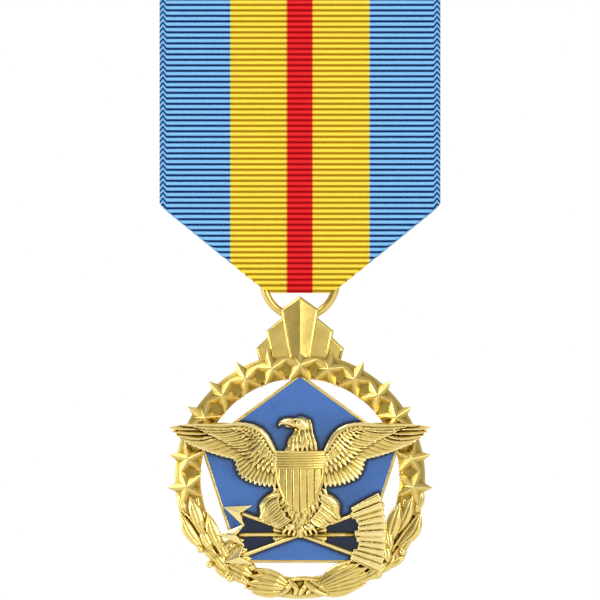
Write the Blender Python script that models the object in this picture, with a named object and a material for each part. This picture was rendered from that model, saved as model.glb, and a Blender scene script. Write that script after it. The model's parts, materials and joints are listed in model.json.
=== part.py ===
"""Service medal: a struck gilt pendant on a ring, a folded ribbon and a brooch pin.

Lengths are millimetres and become metres when an object is made. X points right,
Z up and the front faces -Y. The origin is the middle of the back face of the
brooch plate's lower rail. Depths in the pendant run forward from its flat back.
"""

import math

import bmesh
import bpy
from mathutils import Vector

MM = 0.001

# Fits
CLEARANCE = 0.1
RUNNING_FIT = 0.06
RIBBON_GAP = 0.15
SWING_GAP = 0.2

# Ribbon
RIBBON_WIDTH = 34.925
RIBBON_THICKNESS = 0.4
RIBBON_DROP = 44.65
SHOULDER_RISE = 10.85
FOLD_WIDTH = 8.2
TAIL_LENGTH = 12.0
LAP_LENGTH = 6.0
LAP_STEPS = 6

# Brooch plate
PLATE_INSET = 0.7
PLATE_THICKNESS = 0.8
LOWER_RAIL = 3.8
SLOT_HEIGHT = 1.5
TOP_RAIL = 2.2
END_POST = 2.6
PLATE_CORNER = 0.7

# Pin, hinge and catch
PIN_DIAMETER = 0.9
PIN_STANDOFF = 2.1
PIN_EYE_RADIUS = 0.85
PIN_EYE_HEIGHT = 0.9
PIN_POINT = 4.0
RIVET_DIAMETER = 0.7
EAR_THICKNESS = 0.4
BRACKET_LENGTH = 2.2
HINGE_INSET = 2.4
CATCH_INSET = 3.3
CATCH_LENGTH = 2.0
CATCH_WALL = 0.45
CATCH_MOUTH = 50.0
ROLLER_WALL = 0.3
ROLLER_FLANGE = 0.5
LEVER_REACH = 2.0
LEVER_WIDTH = 0.5

# Suspension ring and eye
RING_RADIUS = 5.0
RING_WIRE = 1.0
RING_RISE = 1.5
EYE_WIRE = 0.7
EYE_SOCKET = 0.4

# Star and wreath frame
FRAME_RADIUS = 15.6
FRAME_INNER_RADIUS = 12.6
FRAME_THICKNESS = 1.1
STAR_RADIUS = 2.3
STAR_WAIST = 0.42
STAR_HEIGHT = 0.75
STAR_LAP = 0.03
STAR_EDGE = 0.08
STAR_STEP = 14.35
UPPER_STARS = 4
LOWER_STAR_ANGLE = 79.8
LOWER_STARS = 2
LEAF_LENGTH = 4.6
LEAF_WIDTH = 1.25
LEAF_HEIGHT = 0.45
LEAF_ROWS = 6
LEAF_SPLAY = 0.95
WREATH_TOP_ANGLE = 112.0
WREATH_FOOT_ANGLE = 172.0
BERRY_RADIUS = 0.42
BAND_STEPS = 72
BAND_TAPER_ANGLE = 92.0
BAND_TAPER_SPAN = 25.0
BRANCH_INSET = 0.65
BRANCH_DROP = 0.25

# Ray suspender: heights above the frame's outer edge
RAY_APEX = (7.15, 6.5, 5.6)
RAY_SHOULDER = (5.35, 2.67, 0.5)
RAY_HALF_WIDTH = (2.3, 4.16, 5.47)
RAY_FOOT_HALF_WIDTH = (1.37, 3.5, 5.1)
RAY_RIDGE = (1.55, 1.15, 0.95)
RAY_EDGE = (1.0, 0.75, 0.55)
RAY_TIP_HALF_WIDTH = 0.04
RAY_OVERLAP = 1.2
EYE_RISE = 4.4

# Pentagon and enamel
TIP_SEAT = 0.4
PENTAGON_THICKNESS = 0.8
RIM_WIDTH = 0.45
CELL_DEPTH = 0.4
ENAMEL_SINK = 0.06

# Eagle: its curves are drawn for a frame of DRAWN_RADIUS
DRAWN_RADIUS = 15.6
WING_LIFT = 0.6
FRAME_RELIEF = 0.5
FEATHERS = 13
COVERTS = 9
FEATHER_WIDTH = 1.25
WING_ROOTS = ((9.9, 6.2), (8.9, 6.0), (7.9, 5.7), (6.6, 5.2), (5.4, 4.3), (4.3, 3.2), (3.4, 2.3))
WING_TIPS = ((16.1, 6.35), (14.9, 4.7), (12.2, 3.7), (9.1, 2.7), (7.6, 0.6), (5.0, -0.7), (3.1, -1.1))
WING_ARM = ((3.2, 2.5), (3.9, 4.3), (5.0, 5.5), (7.0, 6.1), (10.0, 6.1), (13.4, 6.3))
ARM_HALF_WIDTHS = (0.7, 0.95, 0.95, 0.6, 0.4, 0.25)
SHIELD_TOP = 3.5
SHIELD_POINT = -4.2
SHIELD_HALF_WIDTH = 3.07
SHIELD_FRONT = 3.1
CHIEF_FOOT = 1.3
CHIEF_STEP = 0.15
HEAD_CENTRE = (0.2, 6.55)
HEAD_RADIUS = 1.25
ARROW_CROSSING = -6.96
ARROW_FAN = 21.0
ARROW_REACH = 10.2
ARROW_HEAD_LENGTH = 3.0
ARROW_HEAD_WIDTH = 2.7
FLETCH_LENGTH = 3.7
FLETCH_WIDTH = 2.9
SHAFT_WIDTH = 0.7
LAYER_STEP = 0.12
COVERT_REACH = 0.55
ARM_RIDGE = 2.7
HEAD_FRONT = 3.0
PALES = 3
PALE_STEP = 0.8
THIGH_ROOTS = ((2.3, -1.9), (1.9, -2.6), (1.5, -3.2), (1.0, -3.8))
THIGH_TIPS = ((5.0, -3.2), (4.6, -4.6), (3.2, -5.9), (1.9, -6.7))
THIGH_FEATHERS = 6
THIGH_FEATHER_WIDTH = 1.4
TOES = (0.9, 1.6, 2.3)
TOE_RADIUS = 0.38
TOE_RISE = 0.3

# Rivets behind the eagle
POST_DIAMETER = 0.8
POST_HEAD_DIAMETER = 1.6
POST_HEAD_HEIGHT = 0.35
POST_DEPTH = 0.6
BOSS_DIAMETER = 1.5
BODY_RIVET_SPREAD = 3.4
BODY_RIVET_HEIGHT = -1.0
WING_RIVET_SEAT = 0.9

# Outline of a leaf and of a feather: half-widths at equal steps from root to tip
LEAF_SHAPE = (0.3, 0.85, 1.0, 0.7, 0.12)
FEATHER_SHAPE = (0.6, 0.95, 1.0, 0.85, 0.35)
NECK_SHAPE = (0.5, 0.7, 0.85, 1.0, 0.6)

# Places that follow from the sizes above
PLATE_WIDTH = RIBBON_WIDTH - 2 * PLATE_INSET
PLATE_FOOT = -LOWER_RAIL / 2
SLOT_FOOT = LOWER_RAIL / 2
SLOT_TOP = SLOT_FOOT + SLOT_HEIGHT
PLATE_TOP = SLOT_TOP + TOP_RAIL
SLOT_HALF_LENGTH = PLATE_WIDTH / 2 - END_POST
TAIL_HALF_WIDTH = SLOT_HALF_LENGTH - RIBBON_GAP
RIBBON_TOP = PLATE_TOP + CLEARANCE + RIBBON_THICKNESS
FOLD_FOOT = RIBBON_TOP - RIBBON_DROP
SHOULDER = FOLD_FOOT + SHOULDER_RISE
TAIL_Y = -PLATE_THICKNESS - CLEARANCE - RIBBON_THICKNESS / 2
FRONT_Y = TAIL_Y - RIBBON_THICKNESS - CLEARANCE
OVER_Y = CLEARANCE + RIBBON_THICKNESS / 2
LAP_Y = TAIL_Y + RIBBON_THICKNESS + CLEARANCE
RING_Y = FRONT_Y + RIBBON_THICKNESS / 2 + RIBBON_GAP + RING_WIRE / 2
BACK_Y = RING_Y + RING_WIRE / 2 + RIBBON_GAP + RIBBON_THICKNESS / 2
FLAP_Y = BACK_Y + RIBBON_THICKNESS + CLEARANCE
RING_LINE = RING_RADIUS - RING_WIRE / 2
RING_INNER_RADIUS = RING_RADIUS - RING_WIRE
RING_Z = FOLD_FOOT + RING_RISE
LOOP_HALF_WIDTH = math.sqrt(RING_INNER_RADIUS ** 2 - RING_RISE ** 2) - RIBBON_GAP
PIVOT_Z = RING_Z - RING_LINE
EYE_HEIGHT = FRAME_RADIUS + EYE_RISE
PENDANT_BACK = RING_WIRE / 2 + SWING_GAP
STAR_CIRCLE = (FRAME_RADIUS + FRAME_INNER_RADIUS) / 2
PENTAGON_RADIUS = FRAME_INNER_RADIUS + TIP_SEAT
PENTAGON_SLOPE = math.cos(math.radians(36))
CELL_RADIUS = PENTAGON_RADIUS - RIM_WIDTH / PENTAGON_SLOPE
EAGLE_SCALE = FRAME_RADIUS / DRAWN_RADIUS
EAGLE_BACK = PENTAGON_THICKNESS + CLEARANCE
OVER_FRAME = FRAME_THICKNESS + WING_LIFT
WING_EDGE = OVER_FRAME + 0.25
WING_RIDGE = WING_EDGE + 0.35
HINGE_X = PLATE_WIDTH / 2 - HINGE_INSET
CATCH_X = CATCH_INSET - PLATE_WIDTH / 2
ROLLER_BORE = PIN_DIAMETER / 2 + CLEARANCE
ROLLER_RADIUS = ROLLER_BORE + ROLLER_WALL
CATCH_BORE = ROLLER_RADIUS + RUNNING_FIT
CATCH_RADIUS = CATCH_BORE + CATCH_WALL

FINISHES = {
    "gilt": ((0.80, 0.58, 0.20, 1.0), 1.0, 0.28),
    "pin": ((0.72, 0.55, 0.25, 1.0), 1.0, 0.32),
    "enamel": ((0.06, 0.16, 0.46, 1.0), 0.0, 0.15),
    "cloth": ((0.25, 0.50, 0.80, 1.0), 0.0, 0.8),
}


def clear_scene():
    for item in list(bpy.data.objects):
        bpy.data.objects.remove(item, do_unlink=True)


def make_object(name, bm, parent, place):
    bmesh.ops.recalc_face_normals(bm, faces=bm.faces)
    bmesh.ops.scale(bm, vec=(MM, MM, MM), verts=bm.verts)
    mesh = bpy.data.meshes.new(name)
    bm.to_mesh(mesh)
    bm.free()
    item = bpy.data.objects.new(name, mesh)
    bpy.context.collection.objects.link(item)
    item.parent = parent
    item.location = Vector(place) * MM
    return item


def make_piece(name, finish, bm, parent, place=(0, 0, 0)):
    colour, metallic, roughness = FINISHES[finish]
    material = bpy.data.materials.new(name + "_" + finish)
    material.use_nodes = True
    shader = material.node_tree.nodes["Principled BSDF"]
    shader.inputs["Base Color"].default_value = colour
    shader.inputs["Metallic"].default_value = metallic
    shader.inputs["Roughness"].default_value = roughness
    item = make_object(name, bm, parent, place)
    item.data.materials.append(material)
    return item


def make_guide(name, bm, parent, place=(0, 0, 0)):
    item = make_object(name, bm, parent, place)
    item.hide_render = True
    item.display_type = "WIRE"
    return item


def make_axis(name, parent, place):
    item = bpy.data.objects.new(name, None)
    bpy.context.collection.objects.link(item)
    item.parent = parent
    item.location = Vector(place) * MM
    return item


def combine(target, tool, operation):
    step = target.modifiers.new(tool.name, "BOOLEAN")
    step.operation = operation
    step.solver = "EXACT"
    step.use_self = operation == "UNION"
    step.object = tool


def at(x, depth, z):
    return Vector((x, -depth, z))


def loft(bm, sections, closed=False):
    rings = [[bm.verts.new(point) for point in section] for section in sections]
    count = len(rings[0])
    pairs = list(zip(rings, rings[1:]))
    if closed:
        pairs.append((rings[-1], rings[0]))
    else:
        bm.faces.new(rings[0])
        bm.faces.new(rings[-1])
    for first, second in pairs:
        for i in range(count):
            j = (i + 1) % count
            bm.faces.new((first[i], first[j], second[j], second[i]))


def prism(bm, outline, back, front):
    loft(bm, [[at(x, back, z) for x, z in outline], [at(x, front, z) for x, z in outline]])


def circle(radius, count, start=0.0):
    steps = [start + 2 * math.pi * i / count for i in range(count)]
    return [(radius * math.cos(a), radius * math.sin(a)) for a in steps]


def arc(centre, radius, first, last, count):
    steps = [math.radians(first + (last - first) * i / count) for i in range(count + 1)]
    return [(centre[0] + radius * math.cos(a), centre[1] + radius * math.sin(a)) for a in steps]


def post(bm, x, z, radius, back, front, count=16):
    prism(bm, [(x + u, z + v) for u, v in circle(radius, count)], back, front)


def hoop(bm, profile, count):
    """Turn a profile of (radius, depth) points round the Y axis."""
    sections = []
    for i in range(count):
        a = 2 * math.pi * i / count
        sections.append([at(r * math.sin(a), d, r * math.cos(a)) for r, d in profile])
    loft(bm, sections, closed=True)


def smooth_curve(points, count):
    """Points along a Catmull-Rom curve through the given points."""
    last = len(points) - 1
    result = []
    for i in range(count + 1):
        place = i * last / count
        k = min(int(place), last - 1)
        t = place - k
        a, b, c, d = (Vector(points[min(max(k + n, 0), last)]) for n in (-1, 0, 1, 2))
        bend = (2 * a - 5 * b + 4 * c - d) * t + (3 * b - a - 3 * c + d) * t * t
        result.append(b + 0.5 * t * (c - a + bend))
    return result


def ridged_band(bm, line, half_widths, base, edge, ridge):
    """A roof-shaped band along a line of (x, z) points, such as a leaf or a feather."""
    sections = []
    last = len(line) - 1
    for i, (point, half) in enumerate(zip(line, half_widths)):
        along = Vector(line[min(i + 1, last)]) - Vector(line[max(i - 1, 0)])
        side = Vector((-along[1], along[0])).normalized() * half
        left = Vector(point) + side
        right = Vector(point) - side
        sections.append([
            at(left[0], base, left[1]),
            at(left[0], edge, left[1]),
            at(point[0], ridge, point[1]),
            at(right[0], edge, right[1]),
            at(right[0], base, right[1]),
        ])
    loft(bm, sections)


def blade(bm, root, tip, width, shape, base, edge, ridge):
    root = Vector(root)
    steps = [i / (len(shape) - 1) for i in range(len(shape))]
    line = [root.lerp(Vector(tip), t) for t in steps]
    ridged_band(bm, line, [0.5 * width * share for share in shape], base, edge, ridge)


def egg(bm, x, depth, z, half_width, half_depth, half_height, around=10, rows=6):
    before = set(bm.verts)
    bmesh.ops.create_uvsphere(bm, u_segments=around, v_segments=rows, radius=1.0)
    fresh = [v for v in bm.verts if v not in before]
    bmesh.ops.scale(bm, vec=(half_width, half_depth, half_height), verts=fresh)
    bmesh.ops.translate(bm, vec=at(x, depth, z), verts=fresh)


def smooth_step(share):
    share = min(max(share, 0.0), 1.0)
    return share * share * (3 - 2 * share)


def polar(angle, radius):
    """A point (x, z) at an angle in degrees from the top, clockwise from the front."""
    a = math.radians(angle)
    return (radius * math.sin(a), radius * math.cos(a))


def tube(bm, path, across, radius, sides):
    """A round wire along a flat path; across is the path's normal."""
    sections = []
    last = len(path) - 1
    for i, point in enumerate(path):
        along = (path[min(i + 1, last)] - path[max(i - 1, 0)]).normalized()
        side = across.cross(along)
        sections.append([point + across * u + side * v for u, v in circle(radius, sides)])
    loft(bm, sections)


def turned(bm, profile, start, along, across, sides):
    """A round bar along an axis, from (distance, radius) pairs."""
    side = along.cross(across)
    sections = []
    for distance, radius in profile:
        middle = start + along * distance
        sections.append([middle + across * u + side * v for u, v in circle(radius, sides)])
    loft(bm, sections)


def fold_edge(z):
    """Half-width of the ribbon's front at a height, with its lower corners folded away."""
    share = min(max((z - FOLD_FOOT) / SHOULDER_RISE, 0.0), 1.0)
    return 0.5 * (FOLD_WIDTH + share * (RIBBON_WIDTH - FOLD_WIDTH))


def ribbon_stations():
    """The strip from its tail to its lap, as (y, z, half-width) stations."""
    full = RIBBON_WIDTH / 2
    bend = SLOT_HEIGHT / 2 - RIBBON_GAP
    slot = SLOT_FOOT + SLOT_HEIGHT / 2
    line = [(TAIL_Y, PLATE_FOOT - TAIL_LENGTH)]
    line += arc((TAIL_Y + bend, slot - bend), bend, 180, 90, 4)
    line += arc((OVER_Y - bend, slot + bend), bend, 270, 360, 4)
    stations = [(y, z, TAIL_HALF_WIDTH) for y, z in line]

    over = RIBBON_THICKNESS
    crest = RIBBON_TOP - RIBBON_THICKNESS / 2 - over
    stations.append((OVER_Y, crest - RIBBON_THICKNESS, TAIL_HALF_WIDTH))
    line = arc((OVER_Y - over, crest), over, 0, 90, 4)
    line += arc((FRONT_Y + over, crest), over, 90, 180, 4)
    stations += [(y, z, full) for y, z in line]

    turn = (BACK_Y - FRONT_Y) / 2
    fold = FOLD_FOOT + RIBBON_THICKNESS / 2 + turn
    corner = FOLD_FOOT + RIBBON_THICKNESS
    stations.append((FRONT_Y, SHOULDER, full))
    stations.append((FRONT_Y, fold, fold_edge(fold)))
    line = arc(((FRONT_Y + BACK_Y) / 2, fold), turn, 180, 360, 8)
    stations += [(y, z, fold_edge(z) if y < FRONT_Y + turn and z > corner else LOOP_HALF_WIDTH)
                 for y, z in line[1:]]

    inset = flap_bend() / flap_frame()[2][1]
    behind = RING_Z + RING_RADIUS + RIBBON_GAP
    for z in (behind, SHOULDER):
        stations.append((BACK_Y, z, max(LOOP_HALF_WIDTH, fold_edge(z) - inset)))
    stations.append((BACK_Y, SHOULDER + RIBBON_THICKNESS, full))
    lap = PLATE_FOOT - TAIL_LENGTH
    for i in range(LAP_STEPS + 1):
        share = i / LAP_STEPS
        y = BACK_Y + smooth_step(share) * (LAP_Y - BACK_Y)
        stations.append((y, lap - (1 - share) * LAP_LENGTH - RIBBON_GAP, full))
    stations.append((LAP_Y, lap + LAP_LENGTH, full))
    return stations


def flap_bend():
    """How far a flap's fold reaches in from the slanting edge."""
    return (FLAP_Y - FRONT_Y) / 2 + RIBBON_THICKNESS / 2


def flap_frame():
    """The slanting edge of the right-hand fold: its top, its direction and inward normal."""
    top = Vector((RIBBON_WIDTH / 2, SHOULDER))
    along = (Vector((FOLD_WIDTH / 2, FOLD_FOOT)) - top).normalized()
    return top, along, Vector((along[1], -along[0]))


def ribbon_flap(bm, side):
    """A lower corner of the ribbon, folded behind along the slanting edge."""
    top, along, inward = flap_frame()
    corner = Vector((RIBBON_WIDTH / 2, FOLD_FOOT)) - top
    foot = corner.dot(along)
    reach = abs(corner.dot(inward))
    end = (RING_Z + RING_WIRE - top[1]) / along[1]
    bend = (FLAP_Y - FRONT_Y) / 2
    middle = (FLAP_Y + FRONT_Y) / 2
    half = RIBBON_THICKNESS / 2 - 0.25 * CLEARANCE
    near = flap_bend()
    length = (Vector((FOLD_WIDTH / 2, FOLD_FOOT)) - top).length
    sections = []
    for distance in (RIBBON_THICKNESS, foot, end):
        share = min(distance / foot, (length - distance) / (length - foot))
        far = near + share * (reach - near)
        outer = [(near + bend, FRONT_Y - half)]
        outer += arc((near, middle), bend + half, 270, 90, 8)
        outer += [(far, FLAP_Y + half)]
        inner = [(near + bend, FRONT_Y + half)]
        inner += arc((near, middle), bend - half, 270, 90, 8)
        inner += [(far, FLAP_Y - half)]
        section = []
        for q, y in outer + inner[::-1]:
            place = top + along * distance + inward * q
            section.append(Vector((side * place[0], y, place[1])))
        sections.append(section)
    loft(bm, sections)


def build_ribbon(parent):
    stations = ribbon_stations()
    sections = []
    last = len(stations) - 1
    for i, (y, z, half) in enumerate(stations):
        first = Vector(stations[max(i - 1, 0)][:2])
        second = Vector(stations[min(i + 1, last)][:2])
        along = (second - first).normalized()
        out = Vector((-along[1], along[0])) * RIBBON_THICKNESS / 2
        sections.append([
            Vector((-half, y - out[0], z - out[1])),
            Vector((half, y - out[0], z - out[1])),
            Vector((half, y + out[0], z + out[1])),
            Vector((-half, y + out[0], z + out[1])),
        ])
    bm = bmesh.new()
    loft(bm, sections)
    strip = make_piece("ribbon", "cloth", bm, parent)
    for side, name in ((-1, "flap_left"), (1, "flap_right")):
        bm = bmesh.new()
        ribbon_flap(bm, side)
        combine(strip, make_guide(name, bm, parent), "UNION")


def build_brooch_plate(parent):
    bm = bmesh.new()
    half = PLATE_WIDTH / 2
    outline = arc((half - PLATE_CORNER, PLATE_TOP - PLATE_CORNER), PLATE_CORNER, 0, 90, 4)
    outline += arc((PLATE_CORNER - half, PLATE_TOP - PLATE_CORNER), PLATE_CORNER, 90, 180, 4)
    outline += arc((PLATE_CORNER - half, PLATE_FOOT + PLATE_CORNER), PLATE_CORNER, 180, 270, 4)
    outline += arc((half - PLATE_CORNER, PLATE_FOOT + PLATE_CORNER), PLATE_CORNER, 270, 360, 4)
    prism(bm, outline, 0, PLATE_THICKNESS)
    plate = make_piece("brooch_plate", "pin", bm, parent)
    bm = bmesh.new()
    end = SLOT_HEIGHT / 2
    outline = arc((SLOT_HALF_LENGTH - end, SLOT_FOOT + end), end, -90, 90, 8)
    outline += arc((end - SLOT_HALF_LENGTH, SLOT_FOOT + end), end, 90, 270, 8)
    prism(bm, outline, -PLATE_THICKNESS, 2 * PLATE_THICKNESS)
    combine(plate, make_guide("plate_slot", bm, parent), "DIFFERENCE")


def build_hinge(parent, pin_axis):
    ear = PIN_EYE_HEIGHT / 2 + CLEARANCE
    top = ear + EAR_THICKNESS
    back = PIN_STANDOFF + PIN_EYE_RADIUS
    base = CLEARANCE + EAR_THICKNESS
    profile = [(CLEARANCE, -top), (back, -top), (back, -ear), (base, -ear),
               (base, ear), (back, ear), (back, top), (CLEARANCE, top)]
    bm = bmesh.new()
    loft(bm, [[Vector((x, y, z)) for y, z in profile]
              for x in (HINGE_X - BRACKET_LENGTH / 2, HINGE_X + BRACKET_LENGTH / 2)])
    bracket = make_piece("hinge_bracket", "pin", bm, parent)

    bm = bmesh.new()
    hole = RIVET_DIAMETER / 2 + RUNNING_FIT
    up = Vector((0, 0, 1))
    across = Vector((1, 0, 0))
    turned(bm, [(-2 * top, hole), (2 * top, hole)], Vector((HINGE_X, PIN_STANDOFF, 0)), up, across, 20)
    combine(bracket, make_guide("ear_holes", bm, parent), "DIFFERENCE")

    bm = bmesh.new()
    shank = RIVET_DIAMETER / 2
    head = shank + EAR_THICKNESS / 2
    seat = top + CLEARANCE / 2
    cap = seat + EAR_THICKNESS / 2
    outline = [(-cap, shank), (-cap + 0.3 * EAR_THICKNESS, head), (-seat, head), (-seat, shank),
               (seat, shank), (seat, head), (cap - 0.3 * EAR_THICKNESS, head), (cap, shank)]
    turned(bm, outline, Vector((HINGE_X, PIN_STANDOFF, 0)), up, across, 20)
    make_piece("hinge_rivet", "pin", bm, parent)

    build_pin(pin_axis, hole)


def build_pin(pin_axis, hole):
    """The pin lies along -X from its eye, which turns on the rivet."""
    bm = bmesh.new()
    half = PIN_EYE_HEIGHT / 2
    up = Vector((0, 0, 1))
    across = Vector((1, 0, 0))
    turned(bm, [(-half, PIN_EYE_RADIUS), (half, PIN_EYE_RADIUS)], Vector(), up, across, 24)
    pin = make_piece("pin_stem", "pin", bm, pin_axis)

    bm = bmesh.new()
    radius = PIN_DIAMETER / 2 * 0.96
    length = HINGE_X - CATCH_X + CATCH_LENGTH / 2 + ROLLER_FLANGE
    profile = [(PIN_EYE_RADIUS * 0.8, radius), (length - PIN_POINT, radius),
               (length - 0.4 * PIN_POINT, 0.55 * radius), (length, 0.08 * radius)]
    turned(bm, profile, Vector(), Vector((-1, 0, 0)), up, 14)
    combine(pin, make_guide("pin_shaft", bm, pin_axis), "UNION")

    bm = bmesh.new()
    turned(bm, [(-2 * half, hole), (2 * half, hole)], Vector(), up, across, 20)
    combine(pin, make_guide("pin_eye_hole", bm, pin_axis), "DIFFERENCE")


def ring_with_mouth(bore, radius, mouth, count):
    """A C-shaped outline in (y, z), its mouth towards +Y."""
    outer = arc((0, 0), radius, mouth, 360 - mouth, count)
    inner = arc((0, 0), bore, 360 - mouth, mouth, count)
    return outer + inner


def build_catch(parent, roller_axis):
    first = CATCH_X - CATCH_LENGTH / 2
    last = CATCH_X + CATCH_LENGTH / 2
    bm = bmesh.new()
    outline = ring_with_mouth(CATCH_BORE, CATCH_RADIUS, CATCH_MOUTH, 20)
    loft(bm, [[Vector((x, PIN_STANDOFF + y, z)) for y, z in outline] for x in (first, last)])
    housing = make_piece("catch_housing", "pin", bm, parent)

    bm = bmesh.new()
    half = 0.7 * CATCH_RADIUS
    sole = CATCH_RADIUS
    neck = PIN_STANDOFF - CATCH_BORE - CATCH_WALL / 2
    profile = [(CLEARANCE, -sole), (CLEARANCE + CATCH_WALL, -sole), (neck, -half),
               (neck, half), (CLEARANCE + CATCH_WALL, sole), (CLEARANCE, sole)]
    trim = 0.05 * CATCH_LENGTH
    loft(bm, [[Vector((x, y, z)) for y, z in profile] for x in (first + trim, last - trim)])
    combine(housing, make_guide("catch_foot", bm, parent), "UNION")

    bm = bmesh.new()
    outline = ring_with_mouth(ROLLER_BORE, ROLLER_RADIUS, CATCH_MOUTH, 20)
    reach = CATCH_LENGTH / 2 + RUNNING_FIT + ROLLER_FLANGE
    loft(bm, [[Vector((x, y, z)) for y, z in outline] for x in (-reach, reach)])
    roller = make_piece("catch_roller", "pin", bm, roller_axis)

    inside = (ROLLER_BORE + ROLLER_RADIUS) / 2
    for side, name in ((-1, "outer_flange"), (1, "inner_flange")):
        bm = bmesh.new()
        outline = ring_with_mouth(inside, CATCH_BORE + CATCH_WALL / 2, CATCH_MOUTH + 2, 20)
        ends = (side * (reach - ROLLER_FLANGE), side * (reach - 0.1 * ROLLER_FLANGE))
        loft(bm, [[Vector((x, y, z)) for y, z in outline] for x in ends])
        combine(roller, make_guide(name, bm, roller_axis), "UNION")
    bm = bmesh.new()
    half = LEVER_WIDTH / 2
    tongue = [(-half, -inside), (-half, half - LEVER_REACH)]
    tongue += arc((0, half - LEVER_REACH), half, 180, 360, 6)
    tongue += [(half, -inside)]
    ends = (0.2 * ROLLER_FLANGE - reach, 0.8 * ROLLER_FLANGE - reach)
    loft(bm, [[Vector((x, y, z)) for y, z in tongue] for x in ends])
    combine(roller, make_guide("roller_lever", bm, roller_axis), "UNION")


def build_suspension_ring(ring_axis):
    bm = bmesh.new()
    wire = [(RING_LINE + u, v) for u, v in circle(RING_WIRE / 2, 12)]
    hoop(bm, wire, 48)
    make_piece("suspension_ring", "gilt", bm, ring_axis)


def eye_offset():
    return RING_WIRE / 2 + RIBBON_GAP + EYE_WIRE / 2


def build_suspension_eye(pendant_axis):
    """A staple round the ring's wire, its feet let into the back of the suspender."""
    offset = eye_offset()
    foot = -PENDANT_BACK - EYE_SOCKET + CLEARANCE
    path = [Vector((0, foot, offset))]
    path += [Vector((0, y, z)) for y, z in arc((0, 0), offset, 90, -90, 10)]
    path += [Vector((0, foot, -offset))]
    bm = bmesh.new()
    tube(bm, path, Vector((1, 0, 0)), EYE_WIRE / 2, 12)
    make_piece("suspension_eye", "gilt", bm, pendant_axis)


def add_star(bm, angle, grow):
    """A faceted star on the frame, one point outward; grow widens it as a cutter."""
    centre = polar(angle, STAR_CIRCLE)
    outline = []
    for i in range(10):
        radius = (STAR_RADIUS if i % 2 == 0 else STAR_RADIUS * STAR_WAIST) + grow
        x, z = polar(angle + 36 * i, radius)
        outline.append((centre[0] + x, centre[1] + z))
    # Neighbours stand at slightly different heights, so that their points lap.
    lap = STAR_LAP * (round(angle / STAR_STEP) % 2)
    base = FRAME_THICKNESS / 2 - grow - lap
    edge = FRAME_THICKNESS + STAR_EDGE + grow - lap
    peak = bm.verts.new(at(centre[0], edge + STAR_HEIGHT - STAR_EDGE, centre[1]))
    back = [bm.verts.new(at(x, base, z)) for x, z in outline]
    front = [bm.verts.new(at(x, edge, z)) for x, z in outline]
    bm.faces.new(back)
    for i in range(10):
        j = (i + 1) % 10
        bm.faces.new((back[i], back[j], front[j], front[i]))
        bm.faces.new((front[i], front[j], peak))


def star_angles():
    angles = [0.0]
    for side in (-1, 1):
        angles += [side * STAR_STEP * (i + 1) for i in range(UPPER_STARS)]
        angles += [side * (LOWER_STAR_ANGLE + STAR_STEP * i) for i in range(LOWER_STARS)]
    return angles


def add_branch(bm, side):
    """One half of the wreath: rows of three leaves that climb from the tie, and berries."""
    step = (WREATH_FOOT_ANGLE - WREATH_TOP_ANGLE) / (LEAF_ROWS - 1)
    climb = math.degrees(LEAF_LENGTH / STAR_CIRCLE)
    for row in range(LEAF_ROWS):
        angle = WREATH_FOOT_ANGLE - row * step
        base = (0.4 + 0.02 * row) * FRAME_THICKNESS
        for lane, lift in ((-1, 0.0), (1, 0.03), (0, 0.12)):
            root = polar(side * angle, STAR_CIRCLE + 0.35 * lane * LEAF_SPLAY)
            lean = 0.85 if lane else 1.0
            tip = polar(side * (angle - climb * lean), STAR_CIRCLE + 1.35 * lane * LEAF_SPLAY)
            edge = FRAME_THICKNESS - BRANCH_DROP + 0.25 * LEAF_HEIGHT + lift
            blade(bm, root, tip, LEAF_WIDTH, LEAF_SHAPE, base, edge, edge + LEAF_HEIGHT)
    for row in range(1, LEAF_ROWS):
        angle = WREATH_FOOT_ANGLE - (row + 0.15) * step
        for lane in (-1, 1):
            x, z = polar(side * angle, STAR_CIRCLE + 1.4 * lane * LEAF_SPLAY)
            depth = FRAME_THICKNESS - BRANCH_DROP
            egg(bm, x, depth, z, BERRY_RADIUS, BERRY_RADIUS, BERRY_RADIUS, 8, 6)


def add_tie(bm):
    """The bound stems at the foot of the wreath: crossed strands over the ring."""
    reach = 1.9
    for lean in (-1, 1):
        root = (-lean * reach, -STAR_CIRCLE + 0.9)
        tip = (lean * reach, -STAR_CIRCLE - 0.5)
        ridge = FRAME_THICKNESS + LEAF_HEIGHT + 0.06 * lean
        blade(bm, root, tip, 1.1, (0.8, 1.0, 0.8), 0.45 * FRAME_THICKNESS, FRAME_THICKNESS, ridge)


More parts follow.
